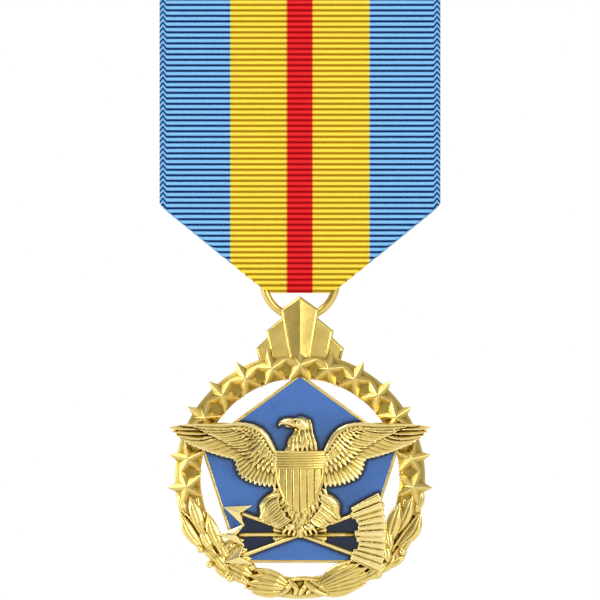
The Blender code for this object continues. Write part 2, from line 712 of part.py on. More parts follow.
def build_frame(parent, place):
    bm = bmesh.new()
    sections = []
    for i in range(BAND_STEPS):
        angle = 360 * (i + 0.5) / BAND_STEPS
        low = smooth_step((min(angle, 360 - angle) - BAND_TAPER_ANGLE) / BAND_TAPER_SPAN)
        inner = FRAME_INNER_RADIUS + low * BRANCH_INSET
        outer = FRAME_RADIUS - low * BRANCH_INSET
        front = FRAME_THICKNESS - low * BRANCH_DROP
        corners = ((inner, 0), (inner, front), (outer, front), (outer, 0))
        points = [(polar(angle, radius), depth) for radius, depth in corners]
        sections.append([at(x, depth, z) for (x, z), depth in points])
    loft(bm, sections, closed=True)
    frame = make_piece("star_wreath_frame", "gilt", bm, parent, place)

    bm = bmesh.new()
    for angle in star_angles():
        add_star(bm, angle, 0.0)
    for side in (-1, 1):
        add_branch(bm, side)
    add_tie(bm)
    combine(frame, make_guide("stars_and_leaves", bm, parent, place), "UNION")

    bm = bmesh.new()
    seat = [polar(72 * i, PENTAGON_RADIUS + CLEARANCE / PENTAGON_SLOPE) for i in range(5)]
    prism(bm, seat, -FRAME_THICKNESS, PENTAGON_THICKNESS + CLEARANCE)
    combine(frame, make_guide("pentagon_seat", bm, parent, place), "DIFFERENCE")

    bm = bmesh.new()
    for x, z in wing_rivet_places():
        post(bm, x, z, POST_DIAMETER / 2 + RUNNING_FIT, -FRAME_THICKNESS, 2 * FRAME_THICKNESS)
    combine(frame, make_guide("frame_rivet_holes", bm, parent, place), "DIFFERENCE")


def wing_rivet_places():
    angle = (STAR_STEP * UPPER_STARS + LOWER_STAR_ANGLE) / 2
    return [polar(side * angle, FRAME_INNER_RADIUS + WING_RIVET_SEAT) for side in (-1, 1)]


def body_rivet_places():
    return [(side * BODY_RIVET_SPREAD / 2, BODY_RIVET_HEIGHT) for side in (-1, 1)]


def ray_layer(bm, layer):
    """One pair of rays as a gabled layer; the next pair lies lower and shows past it."""
    foot = FRAME_RADIUS - RAY_OVERLAP
    line = [(0, foot), (0, FRAME_RADIUS + RAY_SHOULDER[layer]), (0, FRAME_RADIUS + RAY_APEX[layer])]
    halves = (RAY_FOOT_HALF_WIDTH[layer], RAY_HALF_WIDTH[layer], RAY_TIP_HALF_WIDTH)
    base = (layer - len(RAY_APEX)) * CLEARANCE
    ridged_band(bm, line, halves, base, RAY_EDGE[layer], RAY_RIDGE[layer])


def build_suspender(parent, place):
    bm = bmesh.new()
    ray_layer(bm, 0)
    suspender = make_piece("ray_suspender", "gilt", bm, parent, place)
    bm = bmesh.new()
    for layer in range(1, len(RAY_APEX)):
        ray_layer(bm, layer)
    combine(suspender, make_guide("lower_rays", bm, parent, place), "UNION")

    bm = bmesh.new()
    reach = 2 * FRAME_RADIUS
    prism(bm, [(-reach, -reach), (reach, -reach), (reach, reach), (-reach, reach)], -reach, 0)
    combine(suspender, make_guide("suspender_back", bm, parent, place), "DIFFERENCE")
    bm = bmesh.new()
    post(bm, 0, 0, FRAME_RADIUS + CLEARANCE, -FRAME_THICKNESS, 2 * FRAME_THICKNESS, 160)
    combine(suspender, make_guide("frame_seat", bm, parent, place), "DIFFERENCE")
    bm = bmesh.new()
    for angle in star_angles():
        if abs(angle) < 2 * STAR_STEP + 1:
            add_star(bm, angle, CLEARANCE)
    combine(suspender, make_guide("star_seats", bm, parent, place), "DIFFERENCE")
    bm = bmesh.new()
    for offset in (-eye_offset(), eye_offset()):
        post(bm, 0, EYE_HEIGHT + offset, EYE_WIRE / 2 + RUNNING_FIT, -EYE_SOCKET, EYE_SOCKET)
    combine(suspender, make_guide("eye_sockets", bm, parent, place), "DIFFERENCE")


def pentagon(radius):
    return [polar(72 * i, radius) for i in range(5)]


def build_pentagon(parent, place):
    bm = bmesh.new()
    prism(bm, pentagon(PENTAGON_RADIUS), 0, PENTAGON_THICKNESS)
    plate = make_piece("pentagon_plate", "gilt", bm, parent, place)
    bm = bmesh.new()
    prism(bm, pentagon(CELL_RADIUS), PENTAGON_THICKNESS - CELL_DEPTH, 2 * PENTAGON_THICKNESS)
    combine(plate, make_guide("enamel_cell", bm, parent, place), "DIFFERENCE")

    bm = bmesh.new()
    floor = PENTAGON_THICKNESS - CELL_DEPTH + CLEARANCE / 2
    fill = CELL_RADIUS - CLEARANCE / 2 / PENTAGON_SLOPE
    prism(bm, pentagon(fill), floor, PENTAGON_THICKNESS - ENAMEL_SINK)
    enamel = make_piece("enamel_field", "enamel", bm, parent, place)

    bm = bmesh.new()
    for x, z in body_rivet_places():
        post(bm, x, z, POST_DIAMETER / 2 + RUNNING_FIT, -PENTAGON_THICKNESS, 2 * PENTAGON_THICKNESS)
    holes = make_guide("body_rivet_holes", bm, parent, place)
    combine(plate, holes, "DIFFERENCE")
    combine(enamel, holes, "DIFFERENCE")


def drawn(points, side):
    """Eagle points (x, z) brought to the frame's size, on the left or right side."""
    return [(side * x * EAGLE_SCALE, z * EAGLE_SCALE) for x, z in points]


def add_wing(bm, side):
    base = EAGLE_BACK - CLEARANCE
    roots = smooth_curve(drawn(WING_ROOTS, side), FEATHERS - 1)
    tips = smooth_curve(drawn(WING_TIPS, side), FEATHERS - 1)
    for i, (root, tip) in enumerate(zip(roots, tips)):
        layer = LAYER_STEP * i / FEATHERS
        blade(bm, root, tip, FEATHER_WIDTH, FEATHER_SHAPE, base - layer,
              WING_EDGE + layer, WING_RIDGE + layer)
    roots = smooth_curve(drawn(WING_ROOTS, side), COVERTS - 1)
    tips = smooth_curve(drawn(WING_TIPS, side), COVERTS - 1)
    for i, (root, tip) in enumerate(zip(roots, tips)):
        layer = LAYER_STEP * (1 + i / COVERTS)
        blade(bm, root, root.lerp(tip, COVERT_REACH), FEATHER_WIDTH * 1.2, FEATHER_SHAPE,
              base - layer, WING_EDGE + layer, WING_RIDGE + layer)
    arm = smooth_curve(drawn(WING_ARM, side), len(WING_ARM) - 1)
    ridged_band(bm, arm, ARM_HALF_WIDTHS, base - 3 * LAYER_STEP, WING_RIDGE, ARM_RIDGE)


def add_head(bm):
    """Head turned to the left with a hooked beak, over a neck of overlapping feathers."""
    base = EAGLE_BACK - CLEARANCE
    x, z = (value * EAGLE_SCALE for value in HEAD_CENTRE)
    radius = HEAD_RADIUS * EAGLE_SCALE
    foot = SHIELD_TOP * EAGLE_SCALE - radius / 2
    for i in (-2, 2, -1, 1, 0):
        lift = LAYER_STEP * (2 - abs(i)) + 0.01 * i
        root = (x + 0.3 * radius * i, z)
        tip = (0.62 * radius * i, foot)
        blade(bm, root, tip, 1.25 * radius, NECK_SHAPE, base - lift, WING_RIDGE + lift,
              HEAD_FRONT - 0.4 + lift)
    egg(bm, x, HEAD_FRONT - 0.8 * radius, z, radius, 0.8 * radius, 0.9 * radius, 14, 10)
    beak = [(x - 0.5 * radius, z + 0.15 * radius), (x - 1.3 * radius, z + 0.25 * radius),
            (x - 1.9 * radius, z + 0.1 * radius), (x - 2.2 * radius, z - 0.35 * radius)]
    halves = [share * radius for share in (0.55, 0.42, 0.3, 0.06)]
    ridged_band(bm, beak, halves, WING_EDGE, WING_RIDGE, HEAD_FRONT - 0.2)


def shield_outline(inset):
    """Straight top, then sides that curve in to the point."""
    half = (SHIELD_HALF_WIDTH - inset) * EAGLE_SCALE
    top = (SHIELD_TOP - inset) * EAGLE_SCALE
    point = (SHIELD_POINT + inset) * EAGLE_SCALE
    steps = [i / 8 for i in range(9)]
    side = [(half * math.cos(math.pi / 2 * t ** 2.4) + 0.02, top + (point - top) * t) for t in steps]
    return side + [(-x, z) for x, z in reversed(side)]


def add_shield(bm):
    base = EAGLE_BACK - CLEARANCE - LAYER_STEP
    prism(bm, shield_outline(0.0), base, SHIELD_FRONT)
    half = (SHIELD_HALF_WIDTH - 0.4) * EAGLE_SCALE
    chief = [(-half, CHIEF_FOOT), (half, CHIEF_FOOT), (half, SHIELD_TOP - 0.4), (-half, SHIELD_TOP - 0.4)]
    prism(bm, [(x, z * EAGLE_SCALE) for x, z in chief], EAGLE_BACK, SHIELD_FRONT + CHIEF_STEP)
    for i in range(-PALES, PALES + 1):
        x = i * PALE_STEP * EAGLE_SCALE
        foot = (SHIELD_POINT + 0.9 + 0.55 * abs(i)) * EAGLE_SCALE
        blade(bm, (x, CHIEF_FOOT * EAGLE_SCALE), (x, foot), PALE_STEP * 0.6, (1, 1, 0.6), EAGLE_BACK,
              SHIELD_FRONT - CLEARANCE, SHIELD_FRONT + CHIEF_STEP)


def add_legs(bm):
    """Feathered thighs and tail under the shield, and toes over the arrows."""
    base = EAGLE_BACK - CLEARANCE
    for side in (-1, 1):
        roots = smooth_curve(drawn(THIGH_ROOTS, side), THIGH_FEATHERS - 1)
        tips = smooth_curve(drawn(THIGH_TIPS, side), THIGH_FEATHERS - 1)
        for i, (root, tip) in enumerate(zip(roots, tips)):
            lift = LAYER_STEP * i / THIGH_FEATHERS
            blade(bm, root, tip, THIGH_FEATHER_WIDTH, FEATHER_SHAPE, base - lift,
                  WING_EDGE + lift, WING_RIDGE + lift)
        for toe in TOES:
            (x, z), = drawn([(toe, ARROW_CROSSING + TOE_RISE)], side)
            egg(bm, x, WING_RIDGE, z, TOE_RADIUS, 1.3 * TOE_RADIUS, 1.8 * TOE_RADIUS, 8, 6)
    for i in range(-1, 2):
        root = (0.4 * i * EAGLE_SCALE, THIGH_ROOTS[0][1] * EAGLE_SCALE)
        tip = (0.8 * i * EAGLE_SCALE, (ARROW_CROSSING + TOE_RISE) * EAGLE_SCALE)
        lift = LAYER_STEP * (1 - abs(i)) + 0.01 * i
        blade(bm, root, tip, THIGH_FEATHER_WIDTH, FEATHER_SHAPE, base - lift,
              WING_EDGE + lift, WING_RIDGE + lift)


def add_arrow(bm, angle):
    """An arrow through the crossing, its head to the left at the given angle."""
    turn = math.radians(angle)
    along = Vector((-math.cos(turn), math.sin(turn)))
    middle = Vector((0, ARROW_CROSSING * EAGLE_SCALE))
    base = EAGLE_BACK - CLEARANCE - 0.002 * (angle + ARROW_FAN)
    edge = WING_EDGE - 0.05 - 0.002 * angle
    reach = ARROW_REACH * EAGLE_SCALE
    neck = reach - ARROW_HEAD_LENGTH * EAGLE_SCALE
    tail = -reach * 1.03
    shape = (1, 1, 1)
    blade(bm, middle + along * (tail + FLETCH_LENGTH / 2), middle + along * (neck + 0.3),
          SHAFT_WIDTH, shape, base, edge, edge + 0.3)
    head = [middle + along * s for s in (neck - 0.25, neck, reach)]
    ridged_band(bm, head, (0.3 * ARROW_HEAD_WIDTH, ARROW_HEAD_WIDTH / 2, 0.05), base, edge, edge + 0.35)
    vane = [middle + along * s for s in (tail + FLETCH_LENGTH, tail + 0.7 * FLETCH_LENGTH, tail)]
    ridged_band(bm, vane, (SHAFT_WIDTH / 2, FLETCH_WIDTH / 2, FLETCH_WIDTH / 2), base, edge, edge + 0.35)


def build_eagle(parent, place):
    bm = bmesh.new()
    tall = 4.3 * EAGLE_SCALE
    egg(bm, 0, EAGLE_BACK, -0.4 * EAGLE_SCALE, 3.7 * EAGLE_SCALE, WING_RIDGE - EAGLE_BACK, tall, 20, 12)
    eagle = make_piece("eagle", "gilt", bm, parent, place)

    bm = bmesh.new()
    for side in (-1, 1):
        add_wing(bm, side)
    add_head(bm)
    add_shield(bm)
    add_legs(bm)
    for angle in (-ARROW_FAN, 0, ARROW_FAN):
        add_arrow(bm, angle)
    combine(eagle, make_guide("eagle_relief", bm, parent, place), "UNION")

    bm = bmesh.new()
    reach = 2 * FRAME_RADIUS
    prism(bm, [(-reach, -reach), (reach, -reach), (reach, reach), (-reach, reach)], -reach, EAGLE_BACK)
    combine(eagle, make_guide("eagle_back", bm, parent, place), "DIFFERENCE")
    bm = bmesh.new()
    inner = FRAME_INNER_RADIUS - FRAME_RELIEF
    hoop(bm, [(inner, 0), (inner, OVER_FRAME), (reach, OVER_FRAME), (reach, 0)], 80)
    combine(eagle, make_guide("over_frame", bm, parent, place), "DIFFERENCE")
    bm = bmesh.new()
    for x, z in wing_rivet_places():
        post(bm, x, z, BOSS_DIAMETER / 2, FRAME_THICKNESS + CLEARANCE, WING_EDGE)
    combine(eagle, make_guide("wing_bosses", bm, parent, place), "UNION")

    bm = bmesh.new()
    for x, z in body_rivet_places():
        post(bm, x, z, POST_DIAMETER / 2 + RUNNING_FIT, 0, EAGLE_BACK + POST_DEPTH)
    for x, z in wing_rivet_places():
        post(bm, x, z, POST_DIAMETER / 2 + RUNNING_FIT, 0, FRAME_THICKNESS + CLEARANCE + POST_DEPTH)
    combine(eagle, make_guide("post_holes", bm, parent, place), "DIFFERENCE")


def build_rivets(parent, place):
    """Rivets from the back: a domed head and a shank that ends blind in the eagle."""
    groups = ((body_rivet_places(), EAGLE_BACK, "body"),
              (wing_rivet_places(), FRAME_THICKNESS + CLEARANCE, "wing"))
    for places, seat, group in groups:
        for (x, z), name in zip(places, ("left", "right")):
            shank = POST_DIAMETER / 2
            head = POST_HEAD_DIAMETER / 2
            under = CLEARANCE / 2
            profile = [(-under - POST_HEAD_HEIGHT, 0.5 * head), (-under - 0.5 * POST_HEAD_HEIGHT, 0.9 * head),
                       (-under, head), (-under, shank), (seat + POST_DEPTH - CLEARANCE, shank)]
            bm = bmesh.new()
            turned(bm, profile, at(x, 0, z), Vector((0, -1, 0)), Vector((1, 0, 0)), 16)
            make_piece(group + "_rivet_" + name, "gilt", bm, parent, place)


def build_medal():
    clear_scene()
    medal = make_axis("medal", None, (0, 0, 0))
    pin_axis = make_axis("pin_axis", medal, (HINGE_X, PIN_STANDOFF, 0))
    roller_axis = make_axis("roller_axis", medal, (CATCH_X, PIN_STANDOFF, 0))
    ring_axis = make_axis("ring_axis", medal, (0, RING_Y, RING_Z))
    pendant_axis = make_axis("pendant_axis", ring_axis, (0, 0, PIVOT_Z - RING_Z))
    pendant = (0, -PENDANT_BACK, -EYE_HEIGHT)

    build_ribbon(medal)
    build_brooch_plate(medal)
    build_hinge(medal, pin_axis)
    build_catch(medal, roller_axis)
    build_suspension_ring(ring_axis)
    build_suspension_eye(pendant_axis)
    build_suspender(pendant_axis, pendant)
    build_frame(pendant_axis, pendant)
    build_pentagon(pendant_axis, pendant)
    build_eagle(pendant_axis, pendant)
    build_rivets(pendant_axis, pendant)


build_medal()
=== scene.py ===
import json
import math

import bpy
import numpy as np
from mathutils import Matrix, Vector
from mathutils.kdtree import KDTree

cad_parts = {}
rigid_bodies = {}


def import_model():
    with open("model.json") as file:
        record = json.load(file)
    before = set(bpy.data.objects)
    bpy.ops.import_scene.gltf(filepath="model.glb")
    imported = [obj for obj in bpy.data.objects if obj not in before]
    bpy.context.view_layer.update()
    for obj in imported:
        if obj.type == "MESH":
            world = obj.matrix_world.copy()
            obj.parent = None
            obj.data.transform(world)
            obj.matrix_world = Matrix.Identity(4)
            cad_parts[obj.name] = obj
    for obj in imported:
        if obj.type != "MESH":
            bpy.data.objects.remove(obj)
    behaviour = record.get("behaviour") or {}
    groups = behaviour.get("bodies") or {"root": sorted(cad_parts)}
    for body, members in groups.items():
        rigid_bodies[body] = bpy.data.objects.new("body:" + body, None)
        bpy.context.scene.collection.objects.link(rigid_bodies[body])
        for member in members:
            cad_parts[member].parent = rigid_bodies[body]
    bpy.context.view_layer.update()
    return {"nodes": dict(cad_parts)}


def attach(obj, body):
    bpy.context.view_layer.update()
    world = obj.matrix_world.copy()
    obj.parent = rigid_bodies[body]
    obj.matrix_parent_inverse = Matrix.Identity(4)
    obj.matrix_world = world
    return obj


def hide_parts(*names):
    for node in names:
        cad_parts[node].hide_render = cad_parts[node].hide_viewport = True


bpy.ops.object.select_all(action="SELECT")
bpy.ops.object.delete()
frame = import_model()
bpy.ops.object.select_all(action="DESELECT")
print("frame loaded:", len(frame["nodes"]), "nodes")

mm = 0.001
pendant = {"centre": (0.0, -1.45, -61.55)}  # middle of the ring of stars, at the back plane


# small bench tools, all in millimetres
def activate(obj):
    bpy.ops.object.select_all(action="DESELECT")
    obj.select_set(True)
    bpy.context.view_layer.objects.active = obj


def copyOf(obj, name):
    twin = obj.copy()
    twin.data = obj.data.copy()
    twin.name = name
    bpy.context.collection.objects.link(twin)
    return twin


def joinAll(objs, name):
    activate(objs[0])
    for obj in objs[1:]:
        obj.select_set(True)
    bpy.ops.object.join()
    objs[0].name = name
    objs[0].data.name = name
    return objs[0]


def applyAll(obj):
    activate(obj)
    for step in list(obj.modifiers):
        bpy.ops.object.modifier_apply(modifier=step.name)


def facesOut(obj):
    activate(obj)
    bpy.ops.object.mode_set(mode="EDIT")
    bpy.ops.mesh.select_all(action="SELECT")
    bpy.ops.mesh.normals_make_consistent(inside=False)
    bpy.ops.object.mode_set(mode="OBJECT")


def giveWalls(obj, depth):  # walls down from the rim of an open shell, and a floor
    activate(obj)
    bpy.ops.object.mode_set(mode="EDIT")
    bpy.ops.mesh.select_all(action="SELECT")
    bpy.ops.mesh.region_to_loop()
    bpy.ops.mesh.extrude_edges_move(TRANSFORM_OT_translate={"value": (0, 0, -depth)})
    bpy.ops.mesh.edge_face_add()
    bpy.ops.object.mode_set(mode="OBJECT")
    facesOut(obj)


def softenEdges(obj, width, segments, angle=30.0):
    soften = obj.modifiers.new("soften", "BEVEL")
    soften.width = width
    soften.segments = segments
    soften.angle_limit = math.radians(angle)
    applyAll(obj)


def readPoints(obj):
    flat = np.empty(len(obj.data.vertices) * 3, np.float32)
    obj.data.vertices.foreach_get("co", flat)
    return flat.reshape(-1, 3).astype(float)


def writePoints(obj, spots):
    obj.data.vertices.foreach_set("co", np.ascontiguousarray(spots, np.float32).ravel())
    obj.data.update()


def readNormals(obj):
    flat = np.empty(len(obj.data.vertices) * 3, np.float32)
    obj.data.vertices.foreach_get("normal", flat)
    return flat.reshape(-1, 3)


def easeIn(x):
    x = np.clip(x, 0, 1)
    return x * x * (3 - 2 * x)


def polarSpot(angle, radius):  # angle in degrees from the top, clockwise
    turn = math.radians(angle)
    return (radius * math.sin(turn), radius * math.cos(turn))


def smoothLine(spots, steps=12):
    spots = np.array(spots, float)
    if len(spots) == 2:
        return spots[0] + np.linspace(0, 1, steps)[:, None] * (spots[1] - spots[0])
    outer = np.vstack([2 * spots[0] - spots[1], spots, 2 * spots[-1] - spots[-2]])
    line = []
    for i in range(len(spots) - 1):
        a, b, c, d = outer[i:i + 4]
        for u in np.arange(steps) / steps:
            line.append(0.5 * (2 * b + (c - a) * u + (2 * a - 5 * b + 4 * c - d) * u ** 2
                               + (3 * b - a - 3 * c + d) * u ** 3))
    line.append(spots[-1])
    return np.array(line)


def alongLine(spots, t):
    line = smoothLine(spots)
    run = np.r_[0, np.cumsum(np.linalg.norm(np.diff(line, axis=0), axis=1))]
    run /= run[-1]
    way = np.gradient(line, axis=0)
    way /= np.linalg.norm(way, axis=1)[:, None]
    place = np.stack([np.interp(t, run, line[:, k]) for k in (0, 1)], -1)
    side = np.stack([-np.interp(t, run, way[:, 1]), np.interp(t, run, way[:, 0])], -1)
    return place, side


def bladeBlank(across, along):  # a closed flat bar, to be laid along a line
    bpy.ops.mesh.primitive_grid_add(x_subdivisions=across, y_subdivisions=along, size=2)
    blank = bpy.context.object
    bpy.ops.object.mode_set(mode="EDIT")
    bpy.ops.mesh.select_all(action="SELECT")
    bpy.ops.mesh.extrude_region_move(TRANSFORM_OT_translate={"value": (0, 0, 1)})
    bpy.ops.object.mode_set(mode="OBJECT")
    facesOut(blank)
    return blank


def layBlade(blank, line, half, widths, floor, top, crown, rib=0.0, tilt=0.0, ribWidth=0.16):
    # widths: shares of half, top: heights, each at equal steps from root to tip
    blade = copyOf(blank, "blade")
    spots = readPoints(blade)
    s = spots[:, 0]
    t = (spots[:, 1] + 1) / 2
    upper = spots[:, 2] > 0.5
    place, side = alongLine(line, t)
    wide = half * np.interp(t, smoothSteps(widths)[0], smoothSteps(widths)[1])
    ground = place + side * (s * wide)[:, None]
    height = np.interp(t, np.linspace(0, 1, len(top)), top)
    height = height + crown * (1 - s * s) + rib * np.exp(-(s / ribWidth) ** 2) + tilt * s
    low = floor(ground) if callable(floor) else floor
    writePoints(blade, np.column_stack([ground, np.where(upper, height, low)]))
    return blade


def smoothSteps(widths):
    t = np.linspace(0, 1, len(widths))
    line = smoothLine(list(zip(t, widths)), 8)
    return line[:, 0], np.maximum(line[:, 1], 0.02)


def standUp(obj, centre=pendant["centre"]):  # from flat on the bench to its place in the frame
    spots = readPoints(obj)
    x, y, z = centre
    writePoints(obj, np.column_stack([spots[:, 0] + x, y - spots[:, 2], spots[:, 1] + z]) * mm)


def fuse(obj, voxel, rounds, most):  # one struck skin from overlapping shapes
    skin = obj.modifiers.new("skin", "REMESH")
    skin.mode = "VOXEL"
    skin.voxel_size = voxel
    applyAll(obj)
    soften = obj.modifiers.new("soften", "SMOOTH")
    soften.factor = 0.5
    soften.iterations = rounds
    applyAll(obj)
    obj.data.calc_loop_triangles()
    share = most / max(1, len(obj.data.loop_triangles))
    if share < 1:
        thin = obj.modifiers.new("thin", "DECIMATE")
        thin.ratio = share
        applyAll(obj)


def setPaintedShadeHighlight(obj, values):  # painted shade and highlight: + darkens a hollow as painted shade, - lightens a high spot as a painted highlight
    layer = obj.data.attributes.get("paintedShadeHighlight") or obj.data.attributes.new("paintedShadeHighlight", "FLOAT", "POINT")
    layer.data.foreach_set("value", np.ascontiguousarray(values, np.float32))


def paintShadeFromRelief(obj, rounds, full):  # painted shade in hollows and painted highlight on high spots, from how deep each point lies below the smoothed surface
    mesh = obj.data
    count = len(mesh.vertices)
    pairs = np.empty(len(mesh.edges) * 2, np.int64)
    mesh.edges.foreach_get("vertices", pairs)
    a, b = pairs.reshape(-1, 2).T
    spots = readPoints(obj)
    around = np.maximum(np.bincount(a, minlength=count) + np.bincount(b, minlength=count), 1)
    calm = spots.copy()
    for _ in range(rounds):
        total = [np.bincount(a, calm[b, k], count) + np.bincount(b, calm[a, k], count) for k in range(3)]
        calm = 0.4 * calm + 0.6 * np.stack(total, 1) / around[:, None]
    facing = readNormals(obj)
    depth = ((calm - spots) * facing).sum(1) / full
    depth[facing[:, 2] < -0.9] = 0  # the back is plain
    setPaintedShadeHighlight(obj, np.clip(depth, -1, 1))


def finishPiece(obj, material, body, nodes):
    obj.data.materials.clear()
    obj.data.materials.append(material)
    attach(obj, body)
    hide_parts(*nodes)


def seatPiece(obj, material, body, node, angle=None, centre=pendant["centre"]):
    standUp(obj, centre)
    activate(obj)
    if angle is None:
        bpy.ops.object.shade_smooth()
    else:
        bpy.ops.object.shade_smooth_by_angle(angle=math.radians(angle))
    finishPiece(obj, material, body, [node])
    print(obj.name + ":", len(obj.data.polygons), "faces")


# materials
def newMaterial(name):
    material = bpy.data.materials.new(name)
    material.use_nodes = True
    nodes = material.node_tree.nodes
    return material, nodes, material.node_tree.links, nodes["Principled BSDF"]


def rampNode(nodes, stops, mode="LINEAR"):
    ramp = nodes.new("ShaderNodeValToRGB")
    ramp.color_ramp.interpolation = mode
    while len(ramp.color_ramp.elements) < len(stops):
        ramp.color_ramp.elements.new(0.5)
    for element, (place, colour) in zip(ramp.color_ramp.elements, stops):
        element.position = place
        element.color = (*colour, 1)
    return ramp


def mathNode(nodes, links, kind, first, second=None, third=None):
    node = nodes.new("ShaderNodeMath")
    node.operation = kind
    for socket, value in zip(node.inputs, (first, second, third)):
        if value is None:
            continue
        if isinstance(value, (int, float)):
            socket.default_value = value
        else:
            links.new(value, socket)
    return node.outputs[0]


def mathTool(nodes, links):
    return lambda *terms: mathNode(nodes, links, *terms)


def noiseNode(nodes, links, place, scale, detail):
    noise = nodes.new("ShaderNodeTexNoise")
    noise.inputs["Scale"].default_value = scale
    noise.inputs["Detail"].default_value = detail
    links.new(place, noise.inputs["Vector"])
    return noise.outputs["Fac"]


def rangeNode(nodes, links, value, low, high):
    span = nodes.new("ShaderNodeMapRange")
    span.interpolation_type = "SMOOTHSTEP"
    span.inputs["From Min"].default_value = low
    span.inputs["From Max"].default_value = high
    links.new(value, span.inputs["Value"])
    return span


def attributeNode(nodes, name):
    node = nodes.new("ShaderNodeAttribute")
    node.attribute_name = name
    return node.outputs["Fac"]


def addBump(nodes, links, shader, height, strength, depth):  # depth in millimetres
    bump = nodes.new("ShaderNodeBump")
    bump.inputs["Strength"].default_value = strength
    bump.inputs["Distance"].default_value = depth * mm
    links.new(height, bump.inputs["Height"])
    links.new(bump.outputs["Normal"], shader.inputs["Normal"])


# the recess colour is painted shade for hollows; the edge colour is partly burnished wear and partly a
# painted highlight on high spots
giltLook = {"paintedRecessShade": (0.055, 0.034, 0.004), "low": (0.46, 0.32, 0.06), "face": (0.82, 0.61, 0.17),
            "edge": (0.97, 0.80, 0.35), "rough": 0.26, "roughSpread": 0.14, "grain": 9000,
            "grainDepth": 0.012}


def giltMaterial(name, look):
    material, nodes, links, shader = newMaterial(name)
    calc = mathTool(nodes, links)
    place = nodes.new("ShaderNodeTexCoord").outputs["Object"]
    cloud = noiseNode(nodes, links, place, look["grain"] / 14, 4)
    grain = noiseNode(nodes, links, place, look["grain"], 2)
    drift = calc("MULTIPLY_ADD", cloud, 0.16, -0.08)
    # painted shade and highlight: a high value darkens a hollow towards the recess colour, a low value
    # lightens a high spot towards the edge colour
    level = calc("MULTIPLY_ADD", attributeNode(nodes, "paintedShadeHighlight"), -0.5, 0.5)
    level = calc("ADD", level, drift)
    ramp = rampNode(nodes,
                    [(0.05, look["paintedRecessShade"]), (0.34, look["low"]), (0.52, look["face"]), (0.85, look["edge"])])
    links.new(level, ramp.inputs["Fac"])
    links.new(ramp.outputs["Color"], shader.inputs["Base Color"])
    shader.inputs["Metallic"].default_value = 1
    spread = calc("MULTIPLY_ADD", cloud, look["roughSpread"], look["rough"] - look["roughSpread"] / 2)
    links.new(spread, shader.inputs["Roughness"])
    addBump(nodes, links, shader, grain, 0.6, look["grainDepth"])
    return material


struckGilt = giltMaterial("struckGilt", giltLook)
print("gilt ready")


# camera, floor and light
shot = {"distance": 416.2, "height": -39.42, "lens": 200, "sensor": 36}
studio = {"floorDrop": 160, "floorRadius": 900, "floorTone": (0.9, 0.9, 0.9, 1), "left": 0.29, "right": 0.64,
          "back": 1.0, "aim": (0, 0, -0.045),
          # what bright metal mirrors of the room, from left to right
          "shine": ((0.22, 0.26), (0.36, 0.42), (0.5, 0.86), (0.62, 0.70), (0.74, 0.42)),
          # each lamp: name, place in metres, size, power
          "lamps": (("keyRight", (0.34, -0.50, 0.10), 0.32, 1.10),
                    ("topLeft", (-0.30, -0.24, 0.48), 0.30, 1.0),
                    ("sideLeft", (-0.56, -0.20, -0.04), 0.24, 1.1))}


